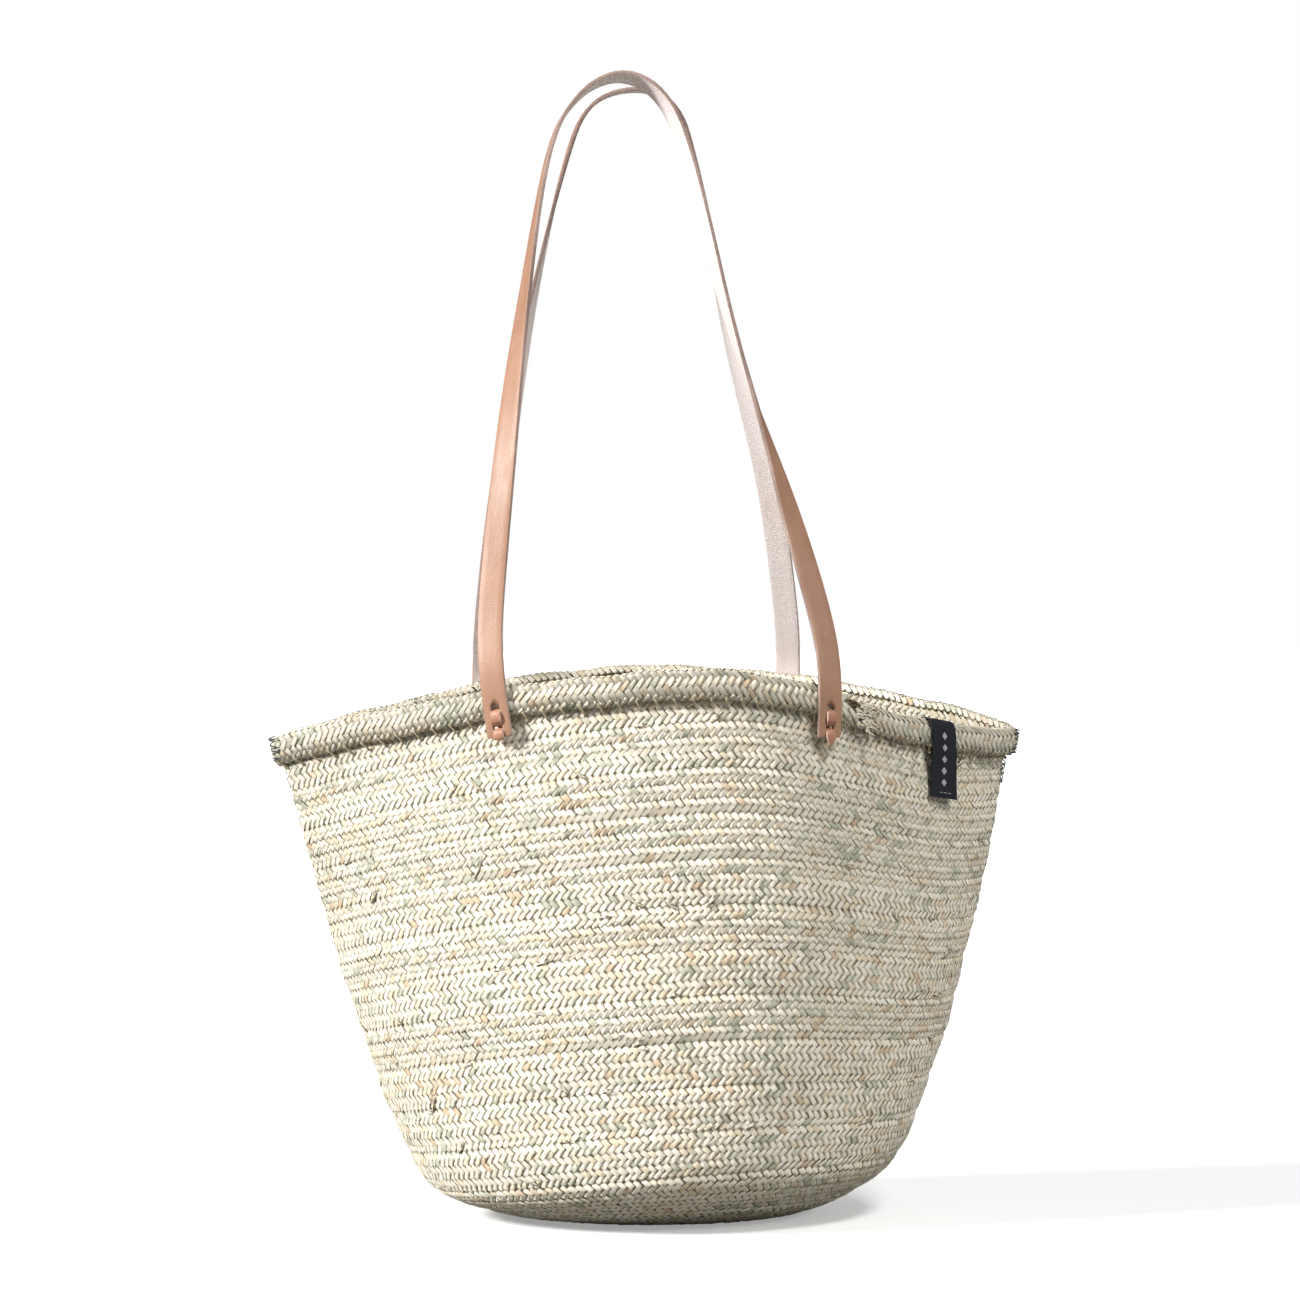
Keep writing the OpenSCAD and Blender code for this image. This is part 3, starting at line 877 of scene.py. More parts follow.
class PlaitWeaver:
    """Lays leaves in a flat plait and works out each leaf's own small faults."""

    def __init__(self, stock: LeafStock, surface: BasketSurface) -> None:
        """Takes the leaves and the surface that they follow."""
        self.stock = stock
        self.surface = surface
        self.tones = np.random.default_rng(SEED).random((8192, 16))

    def weave(self, name: str, first: int, count: int,
              groove: float = 0.00045) -> tuple[LeafBatch, np.ndarray]:
        """Makes a batch of leaves and lays them flat, as measures along, across and out of the plait.

        Args:
            name: the mesh's name.
            first: the number of the first leaf on the whole plait.
            count: how many leaves of each family.
            groove: how far the plait's edges dip.

        Returns:
            The batch, and for each vertex its place along in metres, across from 0 to 1, and out in metres.
        """
        stock = self.stock
        marks = stock.stations()
        batch = LeafBatch.cut(name, 2 * count, len(marks), stock.sides)
        family = batch.leaf % 2
        number = first + batch.leaf // 2
        chance = np.random.default_rng(SEED + first).normal(size=(2 * count, 6))
        mine = chance[batch.leaf]
        step = marks[batch.ring]
        turned = np.where(family == 0, 1.0, -1.0)
        run = stock.pitch * stock.rows
        length = math.hypot(run, self.surface.plait_w)
        cosine, sine = run / length, self.surface.plait_w / length
        batch.side = np.sign(batch.side) * np.abs(batch.side) ** stock.flatness
        batch.face = batch.face * stock.fullness
        end = np.minimum(step + 0.5, stock.levels - 0.5 - step)
        taper = np.where(end < 0.25, stock.end_taper, 1.0)
        wide = stock.width / 2 * (1 + stock.width_spread * mine[:, 0]) * taper
        bends = np.random.default_rng(SEED * 3 + first).normal(size=(2 * count, len(marks), 3))
        wobble = bends[batch.leaf, batch.ring]
        drift = stock.drift * mine[:, 1] + stock.wander * wobble[:, 0]
        offset = batch.side * wide + drift
        climb = np.where(family == 0, step + 0.5, stock.levels - step)
        along = number * stock.pitch + stock.pitch / 2 * climb + offset * sine * turned
        across = (step + 0.5) / stock.levels - offset * cosine / self.surface.plait_w
        rise = stock.heights(family, batch.ring) * stock.lift * (1 + stock.lift_spread * mine[:, 2])
        crown = groove * (1 - 2 * np.abs(2 * np.clip(across, 0, 1) - 1) ** 5)
        tilt = batch.side * stock.twist * wobble[:, 2]
        out = rise + batch.face * stock.thickness / 2 + stock.ruffle * wobble[:, 1] + crown + tilt
        self.dress(batch, number, family, step, wide)
        # Each vertex's side and height, from which the leaf material paints shade along leaf edges and dips.
        form = np.stack([batch.side, stock.heights(family, batch.ring), 0.0 * step], axis=-1)
        write_attribute(batch.mesh, "leaf_form", form)
        return batch, np.stack([along, across, out], axis=-1)

    def dress(self, batch: LeafBatch, number: np.ndarray, family: np.ndarray, step: np.ndarray,
              wide: np.ndarray) -> None:
        """Gives each leaf its tone, which drifts along it, and its measures for the fibres.

        Args:
            batch: the leaves.
            number: each vertex's leaf number.
            family: which way its leaf leans.
            step: how far along its leaf it is, in crossings.
            wide: half its leaf's width there.
        """
        span = np.clip(np.floor((step + 0.5) / 2.0).astype(int), 0, 5) + 8 * family
        own = self.tones[(number * 7 + family * 3001) % 8192, span % 16]
        near = self.tones[(number // 4 + family * 911) % 8192, span]
        whole = self.tones[(number * 13 + family * 17) % 8192, 5]
        tone = 0.34 * own + 0.36 * near + 0.30 * whole
        tone = np.clip(0.5 + 1.5 * (tone - 0.5), 0.0, 1.0)
        write_attribute(batch.mesh, "leaf_tone", tone)
        run = step * self.stock.crossing_run + number * 0.37
        apart = number * 0.61 + family * 5.3
        write_attribute(batch.mesh, "leaf_place", np.stack([run, batch.side * wide, apart], axis=-1))


@dataclass
class CoiledBody:
    """The floor and wall: one plait sewn edge to edge round and round."""

    surface: BasketSurface
    weaver: PlaitWeaver
    wall_top_drop: float = 0.0026
    wave: float = 0.0009

    def __post_init__(self) -> None:
        """Measures the plait's middle line once."""
        self.edge = np.linspace(0.0, 16.3, 16300)
        inner = np.maximum(self.edge - 1.0, 0.0)
        angle = self.surface.coil_start + FULL_TURN * self.edge
        line = self.surface.middle((self.edge + inner) / 2, angle)
        self.length = run_lengths(line)

    def settle(self, flat: np.ndarray) -> np.ndarray:
        """Bends the flat plait round the basket.

        Args:
            flat: places along, across and out of the plait.

        Returns:
            Points in space.
        """
        edge = np.interp(flat[:, 0], self.length, self.edge)
        angle = self.surface.coil_start + FULL_TURN * edge
        inner = np.maximum(edge - 1.0, 0.0)
        turn = inner + flat[:, 1] * (edge - inner)
        top = self.surface.rim_turn - self.wall_top_drop / self.surface.plait_w
        over = turn > top
        turn = np.where(over, top + (turn - top) * 0.04, turn)
        turn = np.maximum(turn, 0.0)
        out = np.where(over, flat[:, 2] * 0.5, flat[:, 2])
        spin = np.radians(angle)
        swell = self.wave * (np.sin(3 * spin + 1.7 * turn) + 0.7 * np.sin(7 * spin - 2.3 * turn + 1.0)
                             + 0.5 * np.sin(13 * spin + 4.1 * turn + 2.0))
        fade = smoothstep((turn - self.surface.floor_turns) / 2.0)
        points = self.surface.place(turn, angle, out + swell * 0.5 * fade)
        points[:, 2] = np.maximum(points[:, 2], 0.0002)
        return points

    def build(self, finishes: Finishes) -> list[bpy.types.Object]:
        """Weaves every turn as its own piece.

        Args:
            finishes: the materials.

        Returns:
            The pieces, from the middle of the floor to the rim.
        """
        pitch = self.weaver.stock.pitch
        whole = np.interp(np.arange(0, 17), self.edge, self.length)
        whole[16] = self.length[-1]
        names = ["floor_turn_1"] * 2 + [f"floor_turn_{n}" for n in (2, 3, 4)] + [
            f"wall_turn_{n:02d}" for n in range(1, 13)]
        lap = self.weaver.stock.rows
        pieces = []
        for turn in range(17):
            start = int(math.ceil(whole[turn] / pitch))
            stop = (int(math.ceil(whole[turn + 1] / pitch)) if turn < 16
                    else int(self.length[-1] / pitch) - lap)
            node = names[turn]
            name = "plait_" + ("centre" if turn == 0 else node)
            batch, flat = self.weaver.weave(name, start, max(stop - start, 1))
            write_points(batch.mesh, self.settle(flat))
            piece = object_from(batch.mesh, name, finishes.leaf)
            pieces.append(fit_up(piece, "root", node))
        return pieces


@dataclass
class RimHem:
    """The plait folded over the rim and sewn down, with its frayed end lapped at the front right."""

    surface: BasketSurface
    weaver: PlaitWeaver
    first_leaf: int = 4200
    lap: float = 0.014
    section: tuple[tuple[float, float], ...] = (
        (-0.0030, 0.0036), (-0.0029, 0.0008), (-0.0013, -0.0008), (0.0015, -0.0012), (0.0042, -0.0002),
        (0.0058, 0.0026), (0.0063, 0.0065), (0.0062, 0.0120), (0.0054, 0.0160), (0.0030, 0.0182))

    def __post_init__(self) -> None:
        """Measures the rim and the section once."""
        self.angle = np.linspace(0.0, FULL_TURN * 1.05, 3000)
        line = self.surface.hem_place(self.surface.fold_angle + self.angle, 0.009, 0.006)
        self.length = run_lengths(line)
        path = np.array(self.section)
        self.reach = run_lengths(path)
        self.reach = self.reach / self.reach[-1]
        self.path = path

    def settle(self, flat: np.ndarray) -> np.ndarray:
        """Folds the flat plait over the rim.

        Args:
            flat: places along, across and out of the plait.

        Returns:
            Points in space.
        """
        whole = float(np.interp(FULL_TURN, self.angle, self.length))
        turn = np.interp(flat[:, 0], self.length, self.angle)
        share = np.clip(flat[:, 1], -0.01, 1.01)
        fine = np.linspace(0, 1, 200)
        out, down = (np.interp(fine, self.reach, self.path[:, k]) for k in (0, 1))
        kernel = np.ones(17) / 17.0
        out, down = (np.convolve(np.pad(row, 8, mode="edge"), kernel, "valid") for row in (out, down))
        along_out, along_up = np.gradient(out), -np.gradient(down)
        size = np.hypot(along_out, along_up)
        normal_out, normal_up = -along_up / size, along_out / size
        lapped = smoothstep((flat[:, 0] - whole + 0.004) / 0.010) * 0.0022
        height = flat[:, 2] * 0.92 + lapped
        pick = [np.interp(share, fine, row) for row in (out, down, normal_out, normal_up)]
        sag = 0.0006 * np.sin(flat[:, 0] * 55.0) + 0.0005 * np.sin(flat[:, 0] * 131.0 + 2.0)
        return self.surface.hem_place(self.surface.fold_angle + turn, pick[1] - pick[3] * height + sag,
                                      pick[0] + pick[2] * height)

    def build(self, finishes: Finishes) -> bpy.types.Object:
        """Weaves the hem's plait and folds it.

        Args:
            finishes: the materials.

        Returns:
            The finished piece.
        """
        whole = float(np.interp(FULL_TURN, self.angle, self.length)) + self.lap
        pitch = self.weaver.stock.pitch
        count = int(whole / pitch) - self.weaver.stock.rows
        batch, flat = self.weaver.weave("plait_rim_hem", self.first_leaf, count, groove=0.0)
        flat[:, 0] -= self.first_leaf * pitch
        write_points(batch.mesh, self.settle(flat))
        return fit_up(object_from(batch.mesh, "plait_rim_hem", finishes.leaf), "root", "rim_hem")


@dataclass
class LooseEnds:
    """Tips of leaves that stick out of the plait along its seams and where the hem's plait ends."""

    surface: BasketSurface
    body_count: int = 96
    joint_count: int = 26
    rings: int = 7
    half_width: float = 0.0013
    half_thickness: float = 0.00035

    def tips(self, name: str, turn: np.ndarray, angle: np.ndarray, base: np.ndarray, length: np.ndarray,
             rise: np.ndarray, lean: np.ndarray) -> bpy.types.Mesh:
        """Shapes thin pointed leaf tips that lift off the wall.

        Args:
            name: the mesh's name.
            turn: the turn number of each tip's root.
            angle: the angle of each tip's root, in degrees.
            base: how far out of the wall each root is.
            length: how long each tip is.
            rise: how far each tip's point lifts off.
            lean: each tip's slope up the wall, in radians, from the way round it.

        Returns:
            The mesh, with its leaf attributes.
        """
        count = len(turn)
        batch = LeafBatch.cut(name, count, self.rings)
        share = batch.ring / (self.rings - 1)
        pick = batch.leaf
        root = self.surface.place(turn, angle, base)[pick]
        round_way = self.surface.round_dir(turn, angle)[pick]
        up_way = self.surface.up_dir(turn, angle)[pick]
        out_way = self.surface.out_dir(turn, angle)[pick]
        along = round_way * np.cos(lean)[pick, None] + up_way * np.sin(lean)[pick, None]
        across = np.cross(out_way, along)
        wide = self.half_width * (1.02 - share**1.5)
        bent = 0.25 * (share**2) * length[pick]
        lifted = share**1.6 * rise[pick] + batch.face * self.half_thickness
        spot = (root + along * (share * length[pick])[:, None] + up_way * bent[:, None]
                + across * (batch.side * wide)[:, None] + out_way * lifted[:, None])
        spot[:, 2] = np.maximum(spot[:, 2], 0.0003)
        write_points(batch.mesh, spot)
        chance = np.random.default_rng(SEED + count).random(count)
        write_attribute(batch.mesh, "leaf_tone", (0.12 + 0.6 * chance)[pick])
        # Side within 0.6 and height 1, so the leaf material paints no shade on the tips.
        form = np.stack([0.6 * batch.side, np.ones(len(pick)), 0.0 * share], axis=-1)
        write_attribute(batch.mesh, "leaf_form", form)
        place = np.stack([share * length[pick], batch.side * wide, pick * 0.7], axis=-1)
        write_attribute(batch.mesh, "leaf_place", place)
        return batch.mesh

    def build(self, finishes: Finishes) -> list[bpy.types.Object]:
        """Sets the loose tips in both places.

        Args:
            finishes: the materials.

        Returns:
            The finished pieces.
        """
        dice = np.random.default_rng(SEED + 11)
        count = self.body_count
        angle = dice.random(count) * FULL_TURN
        start = (angle - self.surface.coil_start) / FULL_TURN
        turn = np.clip(np.floor(dice.random(count) * 11 + 4.6) + np.mod(start, 1.0), 4.4, 15.1)
        turn = turn + dice.normal(size=count) * 0.06
        lean = np.where(dice.random(count) < 0.5, 0.35, math.pi - 0.35) + dice.normal(size=count) * 0.35
        body = self.tips("loose_leaf_ends", turn, angle, np.full(count, 0.0012),
                         0.006 + 0.008 * dice.random(count), 0.0008 + 0.0022 * dice.random(count), lean)
        count = self.joint_count
        angle = self.surface.fold_angle + 1.0 + dice.random(count) * 5.0
        down = 0.001 + 0.018 * dice.random(count)
        lean = -0.1 + dice.normal(size=count) * 0.75
        joint = self.tips("hem_joint_ends", self.surface.rim_turn - down / self.surface.plait_w, angle,
                          np.full(count, 0.0078), 0.006 + 0.010 * dice.random(count),
                          0.0005 + 0.0025 * dice.random(count), lean)
        return [fit_up(object_from(mesh, mesh.name, finishes.leaf), "root") for mesh in (body, joint)]


# ---- stitching ------------------------------------------------------------------------------


def frames_along(line: np.ndarray, up: np.ndarray) -> tuple[np.ndarray, np.ndarray]:
    """Gives directions across and out of a line for laying a section on it.

    Args:
        line: points along the line, in one or more rows of lines.
        up: the direction that the section's out side should face, for each point.

    Returns:
        The across and out directions.
    """
    along = unit_rows(np.gradient(line, axis=-2))
    out = unit_rows(up - along * np.sum(up * along, axis=-1, keepdims=True))
    return np.cross(out, along), out


def strands(name: str, lines: np.ndarray, up: np.ndarray, half_w: np.ndarray | float,
            half_t: np.ndarray | float, sides: int = 6, square: float = 1.0) -> bpy.types.Mesh:
    """Lays closed strands along lines.

    Args:
        name: the mesh's name.
        lines: a block of lines, each with the same number of points.
        up: the direction that each point's out side faces.
        half_w: half the width at each point of a line.
        half_t: half the thickness at each point of a line.
        sides: how many sides the strand has.
        square: 1 for an oval section, less for one with flatter faces.

    Returns:
        The mesh.
    """
    count, rings = lines.shape[:2]
    batch = LeafBatch.cut(name, count, rings, sides)
    across, out = frames_along(lines, up)
    wide = np.broadcast_to(half_w, (count, rings))[batch.leaf, batch.ring]
    thick = np.broadcast_to(half_t, (count, rings))[batch.leaf, batch.ring]
    side = np.sign(batch.side) * np.abs(batch.side) ** square * wide
    face = np.sign(batch.face) * np.abs(batch.face) ** square * thick
    pick = (batch.leaf, batch.ring)
    write_points(batch.mesh, lines[pick] + across[pick] * side[:, None] + out[pick] * face[:, None])
    return batch.mesh


@dataclass
class Stitching:
    """Every sewn line: the seams of the coil, the hem's lower edge and the folded corners."""

    surface: BasketSurface
    seam_step: float = 6.08
    seam_end: float = 1.55
    hem_count: int = 96
    seam_inside: float = -0.0022
    seam_bow: float = 0.0007
    strand_half_w: tuple[float, float] = (0.0009, 0.0008)
    strand_half_t: float = 0.0005
    thread: float = 0.0004
    over_hem: float = 0.0072
    over_wall: float = 0.0016
    hem_edge: float = 0.0185

    def seams(self, finishes: Finishes) -> bpy.types.Object:
        """Whips the coil's seams together on the inside, and shows a little of it between the leaves.

        Args:
            finishes: the materials.

        Returns:
            The piece.
        """
        surface = self.surface
        angle = np.arange(FULL_TURN, FULL_TURN * (surface.rim_turn - self.seam_end), self.seam_step)
        turn = 1.0 + angle / FULL_TURN
        share = np.linspace(-1.0, 1.0, 5)
        span = share * 0.13
        slant = share * 0.55 * 6.0 / turn[:, None]
        out = self.seam_inside - self.seam_bow * (1 - share**2)
        spin = surface.coil_start + angle[:, None] + slant
        spots = np.broadcast_arrays(turn[:, None] + span, spin, out[None, :])
        lines = surface.place(*spots)
        inward = -surface.out_dir(spots[0], spots[1])
        mesh = strands("seam_stitches", lines, inward, self.strand_half_w[0], self.strand_half_t, 5)
        return fit_up(object_from(mesh, "seam_stitches", finishes.fibre), "root", "sewing_strand")

    def hem(self, finishes: Finishes) -> bpy.types.Object:
        """Whips the hem's lower edge to the wall.

        Args:
            finishes: the materials.

        Returns:
            The piece.
        """
        surface = self.surface
        angle = surface.fold_angle + FULL_TURN * (np.arange(self.hem_count) + 0.5) / self.hem_count
        share = np.linspace(0.0, 1.0, 5)
        down = 0.0165 + 0.0062 * share
        out = 0.0066 - 0.0050 * share**0.8
        spots = np.broadcast_arrays(angle[:, None] + 1.1 * share, down[None, :], out[None, :])
        lines = surface.hem_place(*spots)
        turn = surface.rim_turn - spots[1] / surface.plait_w
        outward = surface.out_dir(turn, spots[0])
        mesh = strands("hem_whip_stitches", lines, outward, self.strand_half_w[1], self.strand_half_t, 5)
        return fit_up(object_from(mesh, "hem_whip_stitches", finishes.fibre), "root", "hem_stitches")

    def corner(self, finishes: Finishes, angle: float, side: str, turns: int,
               depth: float) -> bpy.types.Object:
        """Winds dark thread to and fro over a folded corner.

        Args:
            finishes: the materials.
            angle: the corner's angle, in degrees.
            side: left or right, for its name.
            turns: how many times the thread goes to and fro.
            depth: how far below the rim it reaches.

        Returns:
            The piece.
        """
        surface = self.surface
        dice = np.random.default_rng(SEED + int(angle))
        knots = 2 * turns
        marks = np.linspace(0, knots, knots * 5 + 1)
        zig = np.interp(marks, np.arange(knots + 1), np.where(np.arange(knots + 1) % 2, 1.0, -1.0)
                        * (0.8 + 0.4 * dice.random(knots + 1)))
        down = np.interp(marks, np.arange(knots + 1), np.linspace(-0.0005, depth, knots + 1)
                         + 0.0010 * dice.normal(size=knots + 1))
        over = np.where(down < self.hem_edge, self.over_hem, self.over_wall)
        over = np.convolve(np.pad(over, 3, mode="edge"), np.ones(7) / 7, "valid")
        spin = angle + zig * 1.5
        line = surface.hem_place(spin, down, over)
        turn = surface.rim_turn - down / surface.plait_w
        mesh = strands(f"{side}_corner_thread", line[None], surface.out_dir(turn, spin)[None],
                       self.thread, self.thread)
        piece = object_from(mesh, f"{side}_corner_thread", finishes.thread)
        return fit_up(piece, "root", f"{side}_corner_stitches")

    def build(self, finishes: Finishes) -> list[bpy.types.Object]:
        """Sews everything."""
        return [self.seams(finishes), self.hem(finishes), self.corner(finishes, 180.0, "left", 4, 0.015),
                self.corner(finishes, 0.0, "right", 11, 0.040)]


# ---- handles --------------------------------------------------------------------------------


class Wall(Enum):
    """The long side of the basket that a handle is laced to."""

    FRONT = "front"
    REAR = "rear"


@dataclass(frozen=True)
class StrapRoot:
    """Where one end of a strap is laced on: its place on the swing line and its directions."""

    centre: np.ndarray
    across: np.ndarray
    out: np.ndarray
    along: np.ndarray

    @classmethod
    def on(cls, surface: BasketSurface, x: float, wall: Wall, tilt: float, stand: float,
           height: float) -> "StrapRoot":
        """Finds a strap's root on the hem.

        Args:
            surface: the basket's surface.
            x: where along the wall it is.
            wall: the front or the rear.
            tilt: how far the end leans in its own plane, in degrees.
            stand: how far the strap's middle stands out from the wall's middle.
            height: the height of the swing line.

        Returns:
            The root.
        """
        low, high = (181.0, 359.0) if wall is Wall.FRONT else (179.0, 1.0)
        angle = surface.angle_at(x, low, high)
        place = surface.hem_place(angle, 0.008, stand)
        centre = np.array([place[0], place[1], height])
        out = surface.out_dir(surface.rim_turn - 0.5, angle) * np.array([1.0, 1.0, 0.0])
        out = out / np.linalg.norm(out)
        level = np.array([-out[1], out[0], 0.0])
        lean = math.radians(tilt)
        upright = np.array([0.0, 0.0, 1.0])
        return cls(centre, level * math.cos(lean) - upright * math.sin(lean), out,
                   level * math.sin(lean) + upright * math.cos(lean))

    def spot(self, across: np.ndarray, out: np.ndarray, up: np.ndarray) -> np.ndarray:
        """Gives points from measures across the strap, outwards and up from the swing line."""
        across, out, up = np.broadcast_arrays(across, out, up)
        return (self.centre + across[..., None] * self.across + out[..., None] * self.out
                + up[..., None] * self.along)


@dataclass
class Handle:
    """A leather strap with its two laced ends."""

    surface: BasketSurface
    wall: Wall
    root_x: tuple[float, float]
    tilt: tuple[float, float]
    apex: tuple[float, float, float]
    arch: tuple[tuple[float, float], ...]
    width: float = 0.016
    thickness: float = 0.0025
    stand: float = 0.00915
    hinge_h: float = 0.335
    end_length: float = 0.033
    upper_hole: float = 0.0155
    lower_hole: float = 0.027
    hole: float = 0.006
    half_bend: float = 0.0035
    corner_round: float = 0.0015
    edge_round: float = 0.0004
    roll: float = 0.0
    turn_from: float = 0.380
    turn_rise: tuple[float, float] = (0.300, 0.300)
    tongue_point: tuple[float, float] = (0.9, 0.12)
    tongue_length: tuple[float, float] = (0.0345, 0.0375)

    def __post_init__(self) -> None:
        """Finds both roots."""
        self.roots = [StrapRoot.on(self.surface, x, self.wall, tilt, self.stand, self.hinge_h)
                      for x, tilt in zip(self.root_x, self.tilt)]

    @classmethod
    def front(cls, surface: BasketSurface) -> "Handle":
        """Gives the front handle, which leans left and rolls a little past its top.

        Args:
            surface: the basket's surface.

        Returns:
            The handle.
        """
        return cls(surface, Wall.FRONT, root_x=(-0.098, 0.095), tilt=(-9.0, 2.0),
                   apex=(-0.018, -0.015, 0.709),
                   arch=((-0.104, 0.372), (-0.095, 0.458), (-0.082, 0.556), (-0.064, 0.657), (-0.045, 0.695),
                         (-0.018, 0.709), (0.007, 0.696), (0.023, 0.657), (0.046, 0.556), (0.074, 0.458),
                         (0.096, 0.372)),
                   roll=20.0, turn_rise=(0.300, 0.170))

    @classmethod
    def rear(cls, surface: BasketSurface) -> "Handle":
        """Gives the rear handle, which stands a little lower.

        Args:
            surface: the basket's surface.

        Returns:
            The handle.
        """
        return cls(surface, Wall.REAR, root_x=(-0.090, 0.098), tilt=(0.0, 0.0), apex=(-0.003, 0.014, 0.704),
                   arch=((-0.094, 0.372), (-0.086, 0.458), (-0.071, 0.556), (-0.051, 0.650), (-0.034, 0.693),
                         (-0.003, 0.704), (0.020, 0.692), (0.034, 0.655), (0.058, 0.556), (0.086, 0.458),
                         (0.101, 0.372)))

    def line(self) -> tuple[np.ndarray, np.ndarray]:
        """Follows the strap's middle from its left end over the arch to its right end.

        Returns:
            The points, and the direction that the grain side faces at each.
        """
        left, right = self.roots
        rise = np.array([0.0, 0.0, self.half_bend])
        knots = [left.centre + rise]
        for x, z in self.arch:
            root = left if x < self.apex[0] else right
            share = ((z - self.hinge_h) / (self.apex[2] - self.hinge_h)) ** 0.9
            knots.append(np.array([x, root.centre[1] + (self.apex[1] - root.centre[1]) * share, z]))
        knots.append(right.centre + rise)
        arch = curve_through(np.array(knots), 8)
        ends = np.linspace(self.end_length, self.half_bend, 8)
        drawn = [left.spot(0.0, 0.0, -ends), arch, right.spot(0.0, 0.0, -ends[::-1])]
        points = self.eased(np.concatenate(drawn))
        along = unit_rows(np.gradient(points, axis=0))
        way = np.where(np.arange(len(points))[:, None] < len(points) / 2, left.out, right.out)
        over = unit_rows(np.cross(along, np.array([0.0, 1.0, 0.0])))
        past_top = smoothstep((points[:, :1] - self.apex[0] + 0.045) / 0.06)
        rolled = math.sin(math.radians(self.roll)) * past_top * smoothstep((points[:, 2:] - 0.50) / 0.12)
        over = unit_rows(over + rolled * np.array([0.0, 1.0, 0.0]))
        left_rise, right_rise = self.turn_rise
        rise = np.where(points[:, :1] < self.apex[0], left_rise, right_rise)
        turned = smoothstep((points[:, 2:] - self.turn_from) / rise)
        return points, unit_rows(way * (1 - turned) + over * turned)

    def eased(self, points: np.ndarray) -> np.ndarray:
        """Lets the stiff leather round off its line where it leaves the hem, its ends kept as they are.

        Args:
            points: the line as drawn.

        Returns:
            The same line at even steps of about two millimetres.
        """
        lengths = run_lengths(points)
        count = int(lengths[-1] / 0.002)
        even = np.linspace(0, lengths[-1], count)
        line = np.stack([np.interp(even, lengths, points[:, axis]) for axis in range(3)], axis=-1)
        reach = 9
        before = line[:1] + (line[:1] - line[1:2]) * np.arange(reach, 0, -1)[:, None]
        after = line[-1:] + (line[-1:] - line[-2:-1]) * np.arange(1, reach + 1)[:, None]
        padded = np.concatenate([before, line, after])
        kernel = np.ones(2 * reach + 1) / (2 * reach + 1)
        soft = np.stack([np.convolve(padded[:, axis], kernel, "valid") for axis in range(3)], axis=-1)
        return soft + (line - soft) * smoothstep((line[:, 2:] - 0.40) / 0.10)

    def blank(self, length: float) -> bpy.types.Mesh:
        """Cuts the flat strap: square-cut ends with eased corners, softened edges and lace holes.

        Args:
            length: the strap's length.

        Returns:
            The flat strap, its grain side up, with a material number for each layer.
        """
        work = bmesh.new()
        cells = max(int(length / 0.005), 8)
        bmesh.ops.create_grid(work, x_segments=cells, y_segments=4, size=0.5)
        bmesh.ops.scale(work, verts=work.verts, vec=(length, self.width, 1.0))
        bmesh.ops.translate(work, verts=work.verts, vec=(length / 2, 0, -self.thickness / 2))
        for end in (self.end_length, length - self.end_length):
            for step in np.linspace(-0.007, 0.007, 11):
                whole = work.verts[:] + work.edges[:] + work.faces[:]
                bmesh.ops.bisect_plane(work, geom=whole, dist=1e-6, plane_co=(end + step, 0, 0),
                                       plane_no=(1, 0, 0))
        raised = bmesh.ops.extrude_face_region(work, geom=work.faces[:], use_keep_orig=True)["geom"]
        top = [part for part in raised if isinstance(part, bmesh.types.BMVert)]
        bmesh.ops.translate(work, verts=top, vec=(0, 0, self.thickness))
        bmesh.ops.recalc_face_normals(work, faces=work.faces)
        corners = [edge for edge in work.edges
                   if all(min(v.co.x, length - v.co.x) < 1e-6 and self.width / 2 - abs(v.co.y) < 1e-6
                          for v in edge.verts) and abs(edge.verts[0].co.z - edge.verts[1].co.z) > 1e-4]
        bmesh.ops.bevel(work, geom=corners, offset=self.corner_round, segments=3, affect="EDGES",
                        profile=0.5, material=-1)
        rims = [edge for edge in work.edges
                if len(edge.link_faces) == 2 and edge.calc_face_angle(0.0) > 1.2]
        bmesh.ops.bevel(work, geom=rims, offset=self.edge_round, segments=2, affect="EDGES",
                        profile=0.5, material=-1)
        mesh = mesh_from(work, "strap_blank")
        holes = (self.upper_hole, self.lower_hole)
        return self.punched(mesh, [self.end_length - down for down in holes]
                            + [length - self.end_length + down for down in holes])

    def punched(self, mesh: bpy.types.Mesh, places: list[float]) -> bpy.types.Mesh:
        """Punches the lace holes through a flat strap.

        Args:
            mesh: the flat strap.
            places: where the holes are along it.

        Returns:
            The strap with its holes, layers numbered grain, flesh and cut edge.
        """
        work = bmesh.new()
        for place in places:
            bmesh.ops.create_cone(work, cap_ends=True, segments=28, radius1=self.hole / 2,
                                  radius2=self.hole / 2, depth=0.02,
                                  matrix=Matrix.Translation((place, 0, 0)))
        punch = object_from(mesh_from(work, "punch"), "punch")
        strap = object_from(mesh, "strap_blank")
        cut = strap.modifiers.new("holes", "BOOLEAN")
        cut.operation = "DIFFERENCE"
        cut.solver = "EXACT"
        cut.object = punch
        graph = bpy.context.evaluated_depsgraph_get()
        done = bpy.data.meshes.new_from_object(strap.evaluated_get(graph))
        for spare in (strap, punch):
            old = spare.data
            bpy.data.objects.remove(spare)
            bpy.data.meshes.remove(old)
        for face in done.polygons:
            face.use_smooth = True
            face.material_index = 0 if face.normal.z > 0.8 else (1 if face.normal.z < -0.8 else 2)
        return done

